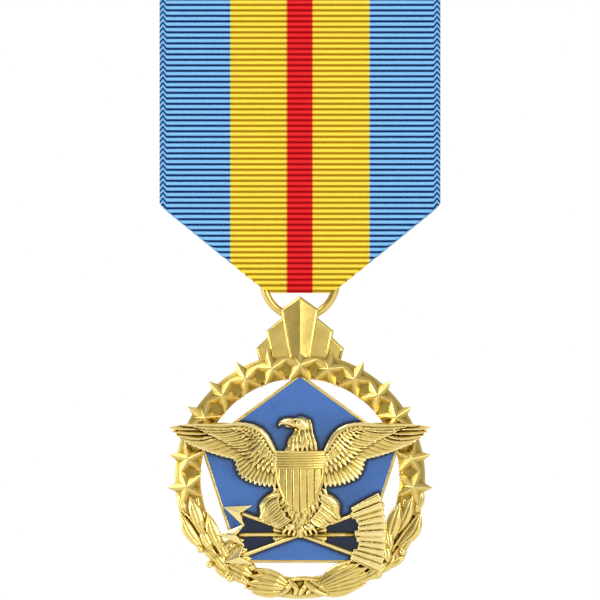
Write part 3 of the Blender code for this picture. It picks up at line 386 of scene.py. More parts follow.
def buildStage():
    lens = bpy.data.cameras.new("camera")
    lens.lens = shot["lens"]
    lens.sensor_width = shot["sensor"]
    lens.clip_start = 0.01
    lens.clip_end = 20
    camera = bpy.data.objects.new("camera", lens)
    bpy.context.collection.objects.link(camera)
    camera.location = (0, -shot["distance"] * mm, shot["height"] * mm)
    camera.rotation_euler = (math.pi / 2, 0, 0)
    bpy.context.scene.camera = camera

    bpy.ops.mesh.primitive_circle_add(vertices=96, radius=studio["floorRadius"] * mm, fill_type="NGON",
                                      location=(0, 0, -studio["floorDrop"] * mm))
    floor = bpy.context.object
    floor.name = "floor"
    material, nodes, links, shader = newMaterial("paleFloor")
    shader.inputs["Base Color"].default_value = studio["floorTone"]
    shader.inputs["Roughness"].default_value = 0.8
    floor.data.materials.append(material)

    for name, spot, size, power in studio["lamps"]:
        lamp = bpy.data.lights.new(name, "AREA")
        lamp.shape = "DISK"
        lamp.size = size
        lamp.energy = power
        holder = bpy.data.objects.new(name, lamp)
        bpy.context.collection.objects.link(holder)
        holder.location = Vector(spot)
        aim = Vector(studio["aim"]) - holder.location
        holder.rotation_euler = aim.to_track_quat("-Z", "Y").to_euler()

    world = bpy.data.worlds.new("studio")
    bpy.context.scene.world = world
    world.use_nodes = True
    nodes, links = world.node_tree.nodes, world.node_tree.links
    calc = mathTool(nodes, links)
    ground = nodes["Background"]
    out = nodes["World Output"]
    place = nodes.new("ShaderNodeTexCoord")
    split = nodes.new("ShaderNodeSeparateXYZ")
    links.new(place.outputs["Generated"], split.inputs[0])
    across = rangeNode(nodes, links, split.outputs["X"], -0.5, 0.5)  # a room that is darker on the left
    across.inputs["To Min"].default_value = studio["left"]
    across.inputs["To Max"].default_value = studio["right"]
    behind = rangeNode(nodes, links, split.outputs["Y"], -0.35, 0.45)  # white behind the medal
    behind.inputs["To Max"].default_value = studio["back"]
    lift = calc("MULTIPLY_ADD", split.outputs["X"], 0.5, 0.5)
    shine = rampNode(nodes, [(spot, (level,) * 3) for spot, level in studio["shine"]], "EASE")
    links.new(lift, shine.inputs["Fac"])
    path = nodes.new("ShaderNodeLightPath")
    room = nodes.new("ShaderNodeMix")
    links.new(path.outputs["Is Glossy Ray"], room.inputs["Factor"])
    links.new(across.outputs["Result"], room.inputs["A"])
    links.new(shine.outputs["Color"], room.inputs["B"])
    links.new(room.outputs["Result"], behind.inputs["To Min"])
    ground.inputs["Color"].default_value = (1, 1, 1, 1)
    links.new(behind.outputs["Result"], ground.inputs["Strength"])
    white = nodes.new("ShaderNodeBackground")
    white.inputs["Color"].default_value = (1, 1, 1, 1)
    white.inputs["Strength"].default_value = 1
    seen = calc("MAXIMUM", path.outputs["Is Camera Ray"], path.outputs["Is Transmission Ray"])
    blend = nodes.new("ShaderNodeMixShader")
    links.new(seen, blend.inputs["Fac"])
    links.new(ground.outputs[0], blend.inputs[1])
    links.new(white.outputs[0], blend.inputs[2])
    links.new(blend.outputs[0], out.inputs["Surface"])
    bpy.context.scene.view_settings.view_transform = "Standard"


buildStage()
print("camera and studio ready")


# ribbon: one strip, from its tail behind the plate, over the rail, down the front and up the back
ribbon = {"width": 34.925, "thick": 0.40, "front": -1.6, "tail": -1.1, "over": 0.3, "lap": -0.6, "back": 0.10,
          "flap": 0.6, "shoulder": -27.70, "foot": -38.55, "foldHalf": 4.1, "tailHalf": 14.0,
          "tailEnd": -13.9, "lapEnd": -7.9, "pitch": 0.6834, "grooveAt": -15.03, "ribDrop": 0.11,
          "selvedge": 0.85, "foldRound": 0.14, "narrowFrom": -34.3, "narrowRun": 2.6, "trimFrom": -32.0,
          "trimRun": 3.0, "crest": 5.5, "bend": 0.6, "crestBend": 0.4, "calmShare": 0.945}
ribPhases = (0.0, 0.10, 0.26, 0.5, 0.74, 0.90)
# light and groove are lit and shaded copies of each stripe colour: the groove colours paint shade into the
# grooves between the ribs
clothColours = {"light": ((0.235, 0.560, 0.920), (1.0, 0.770, 0.070), (0.840, 0.022, 0.028)),
                "groove": ((0.001, 0.018, 0.120), (0.400, 0.215, 0.002), (0.360, 0.001, 0.002)),
                "edges": (0.2527, 0.4527, 0.5448, 0.7470), "selvedge": 0.0245}


def arcSpots(middle, radius, start, stop, steps=10):
    turns = np.radians(np.linspace(start, stop, steps))
    return [(middle[0] + radius * math.cos(a), middle[1] + radius * math.sin(a)) for a in turns]


def ribbonPath():  # centre line as (y, z), with marks where a stretch ends
    r = ribbon
    line = [(r["tail"], r["tailEnd"])]
    line += arcSpots((r["tail"] + r["bend"], 2.05), r["bend"], 180, 90)
    line += arcSpots((r["over"] - r["bend"], 3.25), r["bend"], 270, 360)
    line += arcSpots((r["over"] - r["crestBend"], r["crest"]), r["crestBend"], 0, 90)
    line += arcSpots((r["front"] + r["crestBend"], r["crest"]), r["crestBend"], 90, 180)
    marks = {"crest": len(line) - 1}
    turn = (r["back"] - r["front"]) / 2
    marks["loop"] = len(line)
    line += arcSpots(((r["front"] + r["back"]) / 2, r["foot"] + r["thick"] / 2 + turn), turn, 180, 360, 18)
    marks["behind"] = len(line) - 1
    for share in np.linspace(0, 1, 12):
        line.append((r["back"] + easeIn(share) * (r["lap"] - r["back"]), r["tailEnd"] - 6.15 + 6 * share))
    line.append((r["lap"], r["lapEnd"]))
    line = np.array(line)
    run = np.r_[0, np.cumsum(np.linalg.norm(np.diff(line, axis=0), axis=1))]
    return line, run, {name: run[i] for name, i in marks.items()}


def ribbonHalf(v, marks):  # half-width along the strip, away from the front panel
    full = ribbon["width"] / 2
    rows = [0, marks["crest"] - 2.1, marks["crest"] - 1.3]
    halves = [ribbon["tailHalf"], ribbon["tailHalf"], full]
    span = marks["behind"] - marks["loop"]
    rows += [marks["loop"] - 0.01, marks["loop"], marks["loop"] + 0.14 * span, marks["loop"] + 0.28 * span]
    halves += [full, 5.25, 4.85, 4.15]
    rows += [marks["loop"] + 0.38 * span, marks["loop"] + 0.5 * span, marks["behind"], marks["behind"] + 5.6]
    halves += [3.7, 3.56, 3.56, 10.2]
    rows += [marks["behind"] + 9.8, marks["behind"] + 10.3]
    halves += [15.4, full]
    return np.interp(v, rows, halves)


def ribDepthAt(v, u, reference):
    phase = (v - reference) / ribbon["pitch"]
    gap = np.abs(phase - np.round(phase))
    groove = np.exp(-(gap / 0.15) ** 2)
    calm = 1 - 0.65 * easeIn((np.abs(u) - (ribbon["width"] / 2 - ribbon["selvedge"])) / 0.15)
    return ribbon["ribDrop"] * groove * calm


def foldFront(u, z):  # the lower corners turn behind along the slanting edges
    top = np.array((ribbon["width"] / 2, ribbon["shoulder"]))
    way = np.array((ribbon["foldHalf"], ribbon["foot"])) - top
    way /= np.linalg.norm(way)
    inward = np.array((way[1], -way[0]))
    side = np.sign(u)
    q = (np.abs(u) - top[0]) * inward[0] + (z - top[1]) * inward[1]
    small = easeIn((ribbon["narrowFrom"] - z) / ribbon["narrowRun"])
    deep = (ribbon["flap"] - ribbon["front"]) / 2 * (1 - small) + 0.10 * small
    flat = ribbon["foldRound"] * (1 - small) + 0.06 * small
    start = flat + ribbon["thick"] / 2
    length = math.pi * np.sqrt((deep ** 2 + flat ** 2) / 2)
    past = start - q
    turn = math.pi * np.clip(past / length, 0, 1)
    place = np.where(past > 0, start - flat * np.sin(turn) + np.maximum(past - length, 0), q)
    y = ribbon["front"] + deep - deep * np.cos(turn)
    out = np.stack([-np.sin(turn) / flat, -np.cos(turn) / deep], -1)
    out /= np.linalg.norm(out, axis=-1)[..., None]
    x = side * (np.abs(u) + (place - q) * inward[0])
    normal = np.stack([side * out[..., 0] * inward[0], out[..., 1], out[..., 0] * inward[1]], -1)
    return np.stack([x, y, z + (place - q) * inward[1]], -1), normal


def buildRibbon(material):
    line, run, marks = ribbonPath()
    front = marks["crest"] + (ribbon["crest"] - ribbon["grooveAt"])
    first = math.ceil((0.1 - front) / ribbon["pitch"])
    last = math.floor((run[-1] - 0.1 - front) / ribbon["pitch"])
    v = np.array([front + (i + p) * ribbon["pitch"] for i in range(first, last) for p in ribPhases])
    v = np.r_[0, v, run[-1]]
    y = np.interp(v, run, line[:, 0])
    z = np.interp(v, run, line[:, 1])
    way = np.gradient(line, axis=0)
    way /= np.linalg.norm(way, axis=1)[:, None]
    wy = np.interp(v, run, way[:, 0])
    wz = np.interp(v, run, way[:, 1])
    onFront = (v >= marks["crest"]) & (v < marks["loop"])

    full = ribbon["width"] / 2
    half = ribbonHalf(v, marks)
    inner = half * ribbon["calmShare"]
    drop = ribbon["shoulder"] - ribbon["foot"]
    reach = full - ribbon["foldHalf"]
    slope = math.hypot(drop, reach) / drop
    ends = full + (z - ribbon["shoulder"]) * reach / drop
    small = easeIn((ribbon["narrowFrom"] - z) / ribbon["narrowRun"])
    start = ends - (0.7 * (1 - small) + 0.26 * small) * slope
    trimmed = start + (1.9 * (1 - small) + 0.2 * small) * slope
    trim = easeIn((ribbon["trimFrom"] - z) / ribbon["trimRun"])
    inner = np.where(onFront, np.minimum(full * ribbon["calmShare"], start), inner)
    half = np.where(onFront, full * (1 - trim) + np.minimum(trimmed, full) * trim, half)
    inner = np.minimum(inner, half - 0.05)

    calm, outer = 9, 12
    steps = np.r_[np.arange(calm + 1) / calm, 1 + np.arange(1, outer + 1) / outer]
    steps = np.r_[-steps[:0:-1], steps]
    size = np.abs(steps)[None, :]
    u = np.sign(steps)[None, :] * np.where(size <= 1, inner[:, None] * size,
                                           inner[:, None] + (half - inner)[:, None] * (size - 1))
    rows, columns = u.shape
    v2 = np.repeat(v[:, None], columns, 1)
    spots = np.stack([u, np.repeat(y[:, None], columns, 1), np.repeat(z[:, None], columns, 1)], -1)
    normal = np.stack([0 * u, np.repeat(wz[:, None], columns, 1), np.repeat(-wy[:, None], columns, 1)], -1)
    folded, foldedNormal = foldFront(u, spots[..., 2])
    spots = np.where(onFront[:, None, None], folded, spots)
    normal = np.where(onFront[:, None, None], foldedNormal, normal)

    bpy.ops.mesh.primitive_grid_add(x_subdivisions=columns - 1, y_subdivisions=rows - 1, size=2)
    strip = bpy.context.object
    strip.name = "ribbonCloth"
    body = strip.modifiers.new("body", "SOLIDIFY")
    body.thickness = 0.1
    applyAll(strip)
    raw = readPoints(strip)
    count = rows * columns
    column = np.rint((raw[:count, 0] + 1) / 2 * (columns - 1)).astype(int)
    row = np.rint((raw[:count, 1] + 1) / 2 * (rows - 1)).astype(int)
    rim = np.abs(steps)[column]
    taper = 1 - 0.45 * easeIn((rim - 1.8) / 0.2)
    lift = (ribbon["thick"] / 2 - ribDepthAt(v2, u, front)[row, column]) * taper
    middle = spots[row, column]
    out = normal[row, column]
    upper, lower = middle + out * lift[:, None], middle - out * lift[:, None]
    writePoints(strip, np.vstack([upper, lower]) * mm)

    sheetMap = strip.data.uv_layers.active or strip.data.uv_layers.new(name="sheet")
    sheetMap.name = "sheet"
    corner = np.empty(len(strip.data.loops), np.int64)
    strip.data.loops.foreach_get("vertex_index", corner)
    across = np.r_[u[row, column], u[row, column]] / ribbon["width"] + 0.5
    down = (np.r_[v2[row, column], v2[row, column]] - front) / ribbon["width"]
    sheetMap.data.foreach_set("uv",
                              np.column_stack([across[corner], down[corner]]).astype(np.float32).ravel())

    facesOut(strip)
    bpy.ops.object.shade_smooth()
    finishPiece(strip, material, "brooch_and_ribbon", ["ribbon"])
    print("ribbon:", rows, "rows,", round(run[-1], 1), "mm long")
    return strip


def clothMaterial():
    material, nodes, links, shader = newMaterial("grosgrain")
    calc = mathTool(nodes, links)
    sheetMap = nodes.new("ShaderNodeUVMap")
    sheetMap.uv_map = "sheet"
    split = nodes.new("ShaderNodeSeparateXYZ")
    links.new(sheetMap.outputs["UV"], split.inputs[0])
    across, down = split.outputs["X"], split.outputs["Y"]
    fine = noiseNode(nodes, links, sheetMap.outputs["UV"], 160, 3)  # uneven yarn

    # herringbone selvedge: the ribs lean down, then up again, at both edges
    edge = 0.5 - clothColours["selvedge"]
    fromEdge = calc("ABSOLUTE", calc("SUBTRACT", across, 0.5))
    intoEdge = calc("MAXIMUM", calc("SUBTRACT", fromEdge, edge), 0.0)
    lean = calc("PINGPONG", intoEdge, 0.0125)
    isEdge = calc("GREATER_THAN", fromEdge, edge)
    wave = calc("MULTIPLY_ADD", lean, 1.25, down)
    wobble = calc("MULTIPLY_ADD", fine, 0.0016, -0.0008)
    wave = calc("ADD", wave, wobble)
    phase = calc("MULTIPLY", wave, ribbon["width"] / ribbon["pitch"])
    gap = calc("PINGPONG", phase, 0.5)  # 0 in the groove, 0.5 on the rib
    # painted shade: 0 gives the groove colour in the grooves, 1 the lit colour on the ribs
    light = rangeNode(nodes, links, gap, 0.11, 0.34)

    warp = calc("SINE", calc("MULTIPLY", across, 1150.0))
    yarnAndRibShade = calc("MULTIPLY_ADD", warp, 0.03, light.outputs["Result"])
    yarnAndRibShade = calc("ADD", yarnAndRibShade, calc("MULTIPLY_ADD", fine, 0.30, -0.15))
    yarnAndRibShade = calc("SUBTRACT", yarnAndRibShade, calc("MULTIPLY", isEdge, 0.12))

    edges = clothColours["edges"]
    order = (0, 1, 2, 1, 0)
    jitter = calc("MULTIPLY_ADD", warp, 0.0004, across)
    tones = {}
    for tone in ("light", "groove"):
        stops = [(0.0, clothColours[tone][0])]
        for place, before, after in zip(edges, order, order[1:]):
            stops += [(place - 0.0012, clothColours[tone][before]),
                      (place + 0.0012, clothColours[tone][after])]
        tones[tone] = rampNode(nodes, stops)
        links.new(jitter, tones[tone].inputs["Fac"])
    blend = nodes.new("ShaderNodeMix")
    blend.data_type = "RGBA"
    links.new(yarnAndRibShade, blend.inputs[0])
    links.new(tones["groove"].outputs["Color"], blend.inputs[6])
    links.new(tones["light"].outputs["Color"], blend.inputs[7])
    links.new(blend.outputs[2], shader.inputs["Base Color"])
    shader.inputs["Roughness"].default_value = 0.72
    shader.inputs["Specular IOR Level"].default_value = 0.05
    shader.inputs["Sheen Weight"].default_value = 0.02
    shader.inputs["Sheen Roughness"].default_value = 0.4
    height = calc("ADD", yarnAndRibShade, calc("MULTIPLY", warp, 0.25))
    addBump(nodes, links, shader, height, 0.5, 0.04)
    return material


buildRibbon(clothMaterial())

# ring of thirteen stars over a bevelled band
# the last four values paint a highlight on the star ridges and shade in the valleys, on the walls and on the
# band's middle
starRing = {"inner": 12.38, "outer": 15.55, "thick": 1.1, "circle": 14.1, "radius": 2.42, "waist": 0.51,
            "rim": 0.03, "peak": 0.95, "base": 0.5, "step": 14.35, "upper": 4, "lowerAt": 79.8, "lower": 2,
            "bandEnd": 108, "chamfer": 0.42, "edgeRound": 0.03, "ridgePaintedHighlight": -0.35, "valleyPaintedShade": 0.55,
            "wallPaintedShade": 0.8, "bandPaintedShade": 0.42}


def starAngles():
    r = starRing
    angles = [0.0]
    for side in (-1, 1):
        angles += [side * r["step"] * (i + 1) for i in range(r["upper"])]
        angles += [side * (r["lowerAt"] + r["step"] * i) for i in range(r["lower"])]
    return angles


def buildStar():  # a fan of ten points, pinched at every second one, then given walls
    r = starRing
    bpy.ops.mesh.primitive_circle_add(vertices=10, radius=r["radius"], fill_type="TRIFAN")
    star = bpy.context.object
    spots = readPoints(star)
    turn = np.degrees(np.arctan2(spots[:, 0], spots[:, 1])) % 72
    waist = (np.abs(turn - 36) < 1) & (np.hypot(spots[:, 0], spots[:, 1]) > 0.1)
    spots[waist] *= r["waist"]
    middle = np.hypot(spots[:, 0], spots[:, 1]) < 0.1
    spots[:, 2] = np.where(middle, r["peak"], r["rim"])
    spots[waist, 2] = r["rim"] * 0.4
    writePoints(star, spots)
    giveWalls(star, r["base"])
    softenEdges(star, r["edgeRound"], 1, 12)
    # painted highlight on the ridges, painted shade in the valleys and on the walls
    spots = readPoints(star)
    turn = np.abs((np.degrees(np.arctan2(spots[:, 0], spots[:, 1])) + 36) % 72 - 36) / 36
    valley = turn * easeIn(np.hypot(spots[:, 0], spots[:, 1]) / 0.3)
    setPaintedShadeHighlight(star,
              np.where(spots[:, 2] < -0.1, r["wallPaintedShade"],
                       r["ridgePaintedHighlight"] + (r["valleyPaintedShade"] - r["ridgePaintedHighlight"]) * valley))
    return star


def buildBand(start, stop, steps, inner, outer, front, chamfer, back=0.0, paintedMiddleShade=0.0):
    # an arc of chamfered bar
    bpy.ops.mesh.primitive_grid_add(x_subdivisions=7, y_subdivisions=steps, size=2)
    band = bpy.context.object
    body = band.modifiers.new("body", "SOLIDIFY")
    body.thickness = 0.1
    applyAll(band)
    raw = readPoints(band)
    count = len(raw) // 2
    s = (raw[:, 0] + 1) / 2
    turn = np.radians(start + (stop - start) * (raw[:, 1] + 1) / 2)
    radius = inner + (outer - inner) * s
    drop = chamfer * np.maximum(0, 1 - np.minimum(s, 1 - s) * (outer - inner) / chamfer) ** 1.6
    height = np.where(np.arange(len(raw)) < count, front - drop, back)
    writePoints(band, np.column_stack([radius * np.sin(turn), radius * np.cos(turn), height]))
    # painted shade darkening the middle of the band's front, lighter towards its chamfered edges
    setPaintedShadeHighlight(band, np.where(np.arange(len(raw)) < count, paintedMiddleShade * (1 - np.abs(2 * s - 1) ** 3), 0))
    facesOut(band)
    return band


def buildStarRing(material):
    r = starRing
    shapes = [buildBand(-r["bandEnd"], r["bandEnd"], 150, r["inner"], r["outer"], r["thick"], r["chamfer"],
                        paintedMiddleShade=r["bandPaintedShade"])]
    star = buildStar()
    for i, angle in enumerate(sorted(starAngles())):
        twin = copyOf(star, "star")
        spots = readPoints(twin)
        turn = math.radians(angle)
        x, y = polarSpot(angle, r["circle"])
        lap = 0.02 * (i % 2)
        writePoints(twin, np.column_stack([
            spots[:, 0] * math.cos(turn) + spots[:, 1] * math.sin(turn) + x,
            spots[:, 1] * math.cos(turn) - spots[:, 0] * math.sin(turn) + y, spots[:, 2] + r["thick"] - lap]))
        shapes.append(twin)
    bpy.data.objects.remove(star)
    ring = joinAll(shapes, "starRing")
    seatPiece(ring, material, "pendant", "star_wreath_frame", 9)


buildStarRing(struckGilt)


# wreath: laurel on the left, olive on the right, bound at the foot
wreath = {"arcs": ((-186, -97), (97, 178)), "chamfer": 0.3, "most": 190000, "floor": 0.35, "bandInner": 12.35,
          "bandOuter": 15.0, "bandFront": 0.92, "bandBack": 0.05, "crown": 0.24, "vein": 0.12, "plump": 1.14,
          "voxel": 0.060, "stemHalf": 0.2, "stemFront": 1.18, "berryFront": 1.15, "calm": 24, "depth": 0.08}
leafShape = (0.22, 0.62, 0.92, 1.0, 0.90, 0.60, 0.05)
bunchShape = (0.45, 0.75, 1.0, 1.0, 0.86, 0.55, 0.05)
# each leaf: root, middle and tip, its half-width, its height
leftLeaves = (
    ((-14.0, -4.6), (-14.75, -3.0), (-15.1, -1.3), 0.45, 1.05),
    ((-12.5, -5.6), (-12.75, -3.7), (-12.75, -1.9), 0.50, 1.10),
    ((-12.0, -6.9), (-12.75, -4.8), (-13.7, -2.2), 0.66, 1.38),
    ((-9.5, -9.2), (-10.8, -6.6), (-11.5, -4.3), 0.70, 1.34),
    ((-11.9, -8.9), (-13.75, -6.7), (-14.85, -4.2), 0.62, 1.24),
    ((-10.7, -9.3), (-11.6, -7.8), (-12.4, -5.9), 0.52, 1.34),
    ((-8.7, -11.7), (-9.7, -10.6), (-10.9, -9.0), 0.56, 1.34),
    ((-8.0, -12.5), (-9.6, -11.6), (-11.0, -10.0), 0.52, 1.16),
    ((-9.4, -10.5), (-10.9, -9.6), (-12.3, -8.2), 0.50, 1.20),
    ((-8.4, -10.4), (-9.3, -9.0), (-10.0, -7.4), 0.55, 1.24),
    ((-9.3, -10.2), (-8.0, -9.3), (-6.5, -8.8), 0.80, 1.30),
    ((-9.8, -9.4), (-8.6, -8.3), (-6.9, -7.6), 0.74, 1.22),
    ((-8.8, -11.0), (-7.4, -10.2), (-6.0, -9.9), 0.70, 1.26),
    ((-8.2, -11.6), (-6.9, -11.0), (-5.6, -10.7), 0.60, 1.22),
    ((-5.8, -12.2), (-7.5, -11.2), (-9.1, -10.2), 0.72, 1.26),
    ((-6.2, -12.9), (-7.8, -12.2), (-9.2, -11.2), 0.56, 1.32),
    ((-5.2, -11.6), (-6.4, -10.8), (-7.8, -10.3), 0.50, 1.12))
leftBunch = (
    ((-1.2, -13.3), (-3.5, -11.95), (-5.9, -11.25), 0.52, 1.22),
    ((-1.3, -13.5), (-3.9, -12.55), (-6.5, -12.1), 0.56, 1.38),
    ((-1.4, -13.7), (-4.2, -13.2), (-7.0, -12.95), 0.56, 1.46),
    ((-1.5, -13.9), (-4.2, -13.85), (-6.9, -13.6), 0.50, 1.36),
    ((-1.6, -14.1), (-3.8, -14.35), (-6.0, -14.25), 0.42, 1.20))
rightLeaves = (
    ((14.2, -4.6), (14.95, -2.9), (15.2, -1.1), 0.42, 1.05),
    ((12.2, -6.8), (13.15, -4.5), (14.05, -2.0), 0.64, 1.38),
    ((10.9, -8.4), (11.5, -5.8), (12.4, -3.0), 0.80, 1.72),
    ((12.2, -8.4), (14.1, -6.7), (15.0, -4.3), 0.64, 1.28),
    ((11.3, -8.8), (11.0, -7.4), (10.7, -6.1), 0.50, 1.85),
    ((10.9, -10.4), (10.7, -9.2), (10.5, -8.0), 0.55, 1.85),
    ((9.4, -11.8), (10.8, -10.7), (11.9, -9.2), 0.62, 1.30),
    ((10.4, -11.2), (11.9, -10.4), (13.2, -9.4), 0.45, 1.14),
    ((11.6, -9.6), (12.8, -8.6), (13.9, -7.2), 0.46, 1.18),
    ((12.6, -5.2), (12.9, -3.6), (12.95, -2.1), 0.40, 1.08),
    ((8.6, -10.6), (9.5, -9.9), (10.5, -9.3), 0.45, 1.12),
    ((7.8, -12.4), (9.3, -11.7), (10.7, -10.7), 0.62, 1.52))
rightBunch = (
    ((2.2, -13.1), (4.4, -11.4), (6.7, -10.0), 0.52, 1.40),
    ((2.2, -13.3), (5.0, -11.7), (7.8, -10.35), 0.56, 1.54),
    ((2.3, -13.5), (5.6, -12.1), (8.8, -10.85), 0.58, 1.62),
    ((2.3, -13.7), (5.9, -12.6), (9.4, -11.6), 0.56, 1.58),
    ((2.4, -13.9), (5.8, -13.2), (9.0, -12.4), 0.52, 1.50),
    ((2.5, -14.1), (5.4, -13.8), (8.2, -13.1), 0.50, 1.42),
    ((2.6, -14.3), (4.8, -14.25), (6.8, -13.9), 0.42, 1.28))
stems = (((-9.4, -10.9), (-11.9, -7.4), (-13.6, -5.0), (-14.8, -3.9)),
         ((-8.9, -10.9), (-10.2, -8.6), (-11.2, -6.9)),
         ((9.6, -11.9), (11.2, -9.3), (12.7, -7.0), (14.7, -4.4)),
         ((10.2, -11.5), (11.7, -9.4), (13.2, -7.6)))
# berries: place and size
berries = ((-12.37, -8.83, 0.47), (-11.25, -10.69, 0.46), (-8.64, -12.43, 0.50), (-6.65, -12.80, 0.46),
           (-8.27, -8.33, 0.42), (-5.90, -11.06, 0.44), (12.74, -9.07, 0.54), (9.63, -11.93, 0.56),
           (10.13, -8.58, 0.40))
# strands of the tie: points from end to end, half-width, height
tieStrands = (
    (((-1.5, -12.75), (0.5, -12.45), (2.7, -12.8)), 0.30, 1.18),
    (((-2.5, -14.45), (-1.6, -13.7), (-0.8, -12.85)), 0.36, 1.40),
    (((-1.3, -12.8), (-0.5, -13.6), (-0.6, -14.45)), 0.34, 1.50),
    (((-0.1, -14.5), (0.4, -13.7), (1.2, -12.9)), 0.36, 1.36),
    (((0.5, -12.85), (1.4, -13.5), (2.3, -14.1), (3.4, -14.45)), 0.36, 1.52),
    (((1.3, -12.75), (2.5, -13.35), (3.7, -14.25)), 0.34, 1.40),
    (((0.8, -14.5), (1.15, -13.95), (1.6, -13.5)), 0.30, 1.24))


def layLeaf(blank, root, middle, tip, half, height, shape):
    w = wreath
    top = (height - 0.26, height, height - 0.06, height - 0.30)
    return layBlade(blank, [root, middle, tip], half * w["plump"], shape, w["floor"], top, w["crown"],
                    -w["vein"], ribWidth=0.14)


def buildWreath(material):
    w = wreath
    shapes = []
    for start, stop in w["arcs"]:
        shapes.append(buildBand(start, stop, 60, w["bandInner"], w["bandOuter"], w["bandFront"], w["chamfer"],
                                w["bandBack"]))
    blank = bladeBlank(12, 24)
    for leaf in leftLeaves + rightLeaves:
        shapes.append(layLeaf(blank, *leaf, leafShape))
    for leaf in leftBunch + rightBunch:
        shapes.append(layLeaf(blank, *leaf, bunchShape))
    for line in stems:
        shapes.append(layBlade(blank, line, w["stemHalf"], (1, 1, 1, 0.6), w["floor"], (w["stemFront"],) * 2,
                               0.2))
    for spots, half, height in tieStrands:
        shapes.append(layBlade(blank, spots, half, (0.6, 1, 1, 1, 0.6), w["floor"],
                               (height - 0.22, height, height - 0.22), 0.28))
    bpy.data.objects.remove(blank)
    for x, y, size in berries:
        bpy.ops.mesh.primitive_uv_sphere_add(segments=20, ring_count=14, radius=size,
                                             location=(x, y, w["berryFront"]))
        bpy.ops.object.transform_apply(location=True, rotation=False, scale=False)
        shapes.append(bpy.context.object)
    piece = joinAll(shapes, "laurelWreath")
    fuse(piece, w["voxel"], 1, w["most"])
    # painted shade in the hollows and painted highlight on the high spots of the wreath
    paintShadeFromRelief(piece, w["calm"], w["depth"])
    seatPiece(piece, material, "pendant", "star_wreath_frame")


buildWreath(struckGilt)


# eagle: wings feather by feather, head, breast shield, legs and three arrows
eagle = {"back": 0.9, "sunk": 0.6, "wallTop": 1.7, "overRing": 1.72, "ringFrom": 12.1, "voxel": 0.060,
         "most": 148000, "calm": 20, "depth": 0.053, "flights": 27, "coverts": 18, "lessers": 13}
# rows of the wing: half-width, height, crown, quill, tilt and sag of each feather; the bed below them
wingRows = {"flight": (0.30, 2.05, 0.07, 0.0, 0.07, 0.15), "covert": (0.30, 2.31, 0.08, 0.0, 0.07, 0.05),
            "lesser": (0.27, 2.50, 0.08, 0.0, 0.06, 0.0), "bedHalf": 0.52, "bedDrop": 0.30}
flightShape = (0.80, 0.92, 1.0, 1.0, 1.0, 0.95, 0.40)
scaleShape = (0.60, 0.90, 1.0, 1.0, 0.90, 0.66, 0.12)
bedShape = (0.9, 1.0, 1.0, 0.9, 0.62, 0.34, 0.05)
# curves of the left wing, from the wing tip to the body
wingCurves = {
    "flightTips": ((-16.15, 6.35), (-15.65, 5.75), (-14.95, 5.1), (-14.0, 4.45), (-12.7, 3.85), (-11.5, 3.4),
                   (-10.3, 3.0), (-9.2, 2.7), (-8.3, 2.45), (-8.0, 1.6), (-7.75, 0.75), (-7.2, 0.0),
                   (-6.4, -0.4), (-5.6, -0.7), (-4.8, -0.9), (-4.0, -1.0), (-3.2, -1.1)),
    "flightRoots": ((-9.6, 6.35), (-9.2, 6.15), (-8.8, 5.95), (-8.4, 5.7), (-8.05, 5.45), (-7.7, 5.15),
                    (-7.3, 4.8), (-6.9, 4.4), (-6.6, 4.0), (-6.3, 3.6), (-6.0, 3.25), (-5.6, 2.9),
                    (-5.2, 2.65), (-4.7, 2.4), (-4.2, 2.2), (-3.7, 2.0), (-3.2, 1.8)),
    "covertTips": ((-13.2, 6.45), (-11.9, 5.75), (-10.6, 5.15), (-9.3, 4.45), (-8.1, 3.75), (-7.0, 2.75),
                   (-6.0, 1.7), (-5.0, 1.1), (-4.1, 0.75), (-3.3, 0.55)),
    "covertRoots": ((-8.4, 6.4), (-7.9, 6.15), (-7.4, 5.8), (-6.8, 5.3), (-6.3, 4.7), (-5.8, 4.0),
                    (-5.3, 3.4), (-4.7, 3.0), (-4.1, 2.7), (-3.4, 2.5)),
    "lesserTips": ((-8.7, 6.35), (-7.75, 5.75), (-6.95, 4.9), (-6.35, 3.7), (-5.8, 2.9), (-5.1, 2.2),
                   (-4.3, 1.8), (-3.5, 1.5)),
    "lesserRoots": ((-7.3, 6.5), (-6.3, 6.35), (-5.45, 5.95), (-4.8, 5.35), (-4.35, 4.7), (-3.95, 4.0),
                    (-3.55, 3.4), (-3.0, 2.8)),
    "arm": ((-2.9, 2.6), (-3.25, 3.3), (-3.75, 4.3), (-4.35, 5.3), (-5.3, 6.1), (-6.7, 6.5), (-8.4, 6.55),
            (-10.4, 6.55), (-12.4, 6.6), (-14.6, 6.6))}
armWidths = (0.6, 0.8, 0.85, 0.9, 0.85, 0.7, 0.55, 0.5, 0.45, 0.2)


def eagleFloor(ground):
    reach = np.hypot(ground[:, 0], ground[:, 1])
    step = easeIn((reach - eagle["ringFrom"] + 0.2) / 0.2)
    return eagle["back"] + (eagle["overRing"] - eagle["back"]) * step


def mirrored(spots, side):
    return [(-side * x, y) for x, y in spots]


def featherRow(blank, tips, roots, count, half, shape, height, crown, quill, tilt, sag, side):
    blades = []
    u = np.linspace(0, 1, count)
    tipSpots = alongLine(tips, u)[0]
    rootSpots = alongLine(roots, u)[0]
    for i in range(count):
        a, b = rootSpots[i], tipSpots[i]
        way = (b - a) / np.linalg.norm(b - a)
        across = np.array((-way[1], way[0]))
        droop = sag * easeIn(u[i] / 0.14 + 0.12) * (1 - u[i]) ** 2 * np.linalg.norm(b - a)
        middle = (a + b) / 2 + across * droop
        line = mirrored([a, middle, b], side)
        step = 0.03 * (i % 2)
        blades.append(layBlade(blank, line, half, shape, eagleFloor,
                               (height + 0.06 + step, height + step, height - 0.04), crown, quill,
                               -side * tilt * (1 + 2.6 * (1 - u[i]) ** 2)))
    return blades


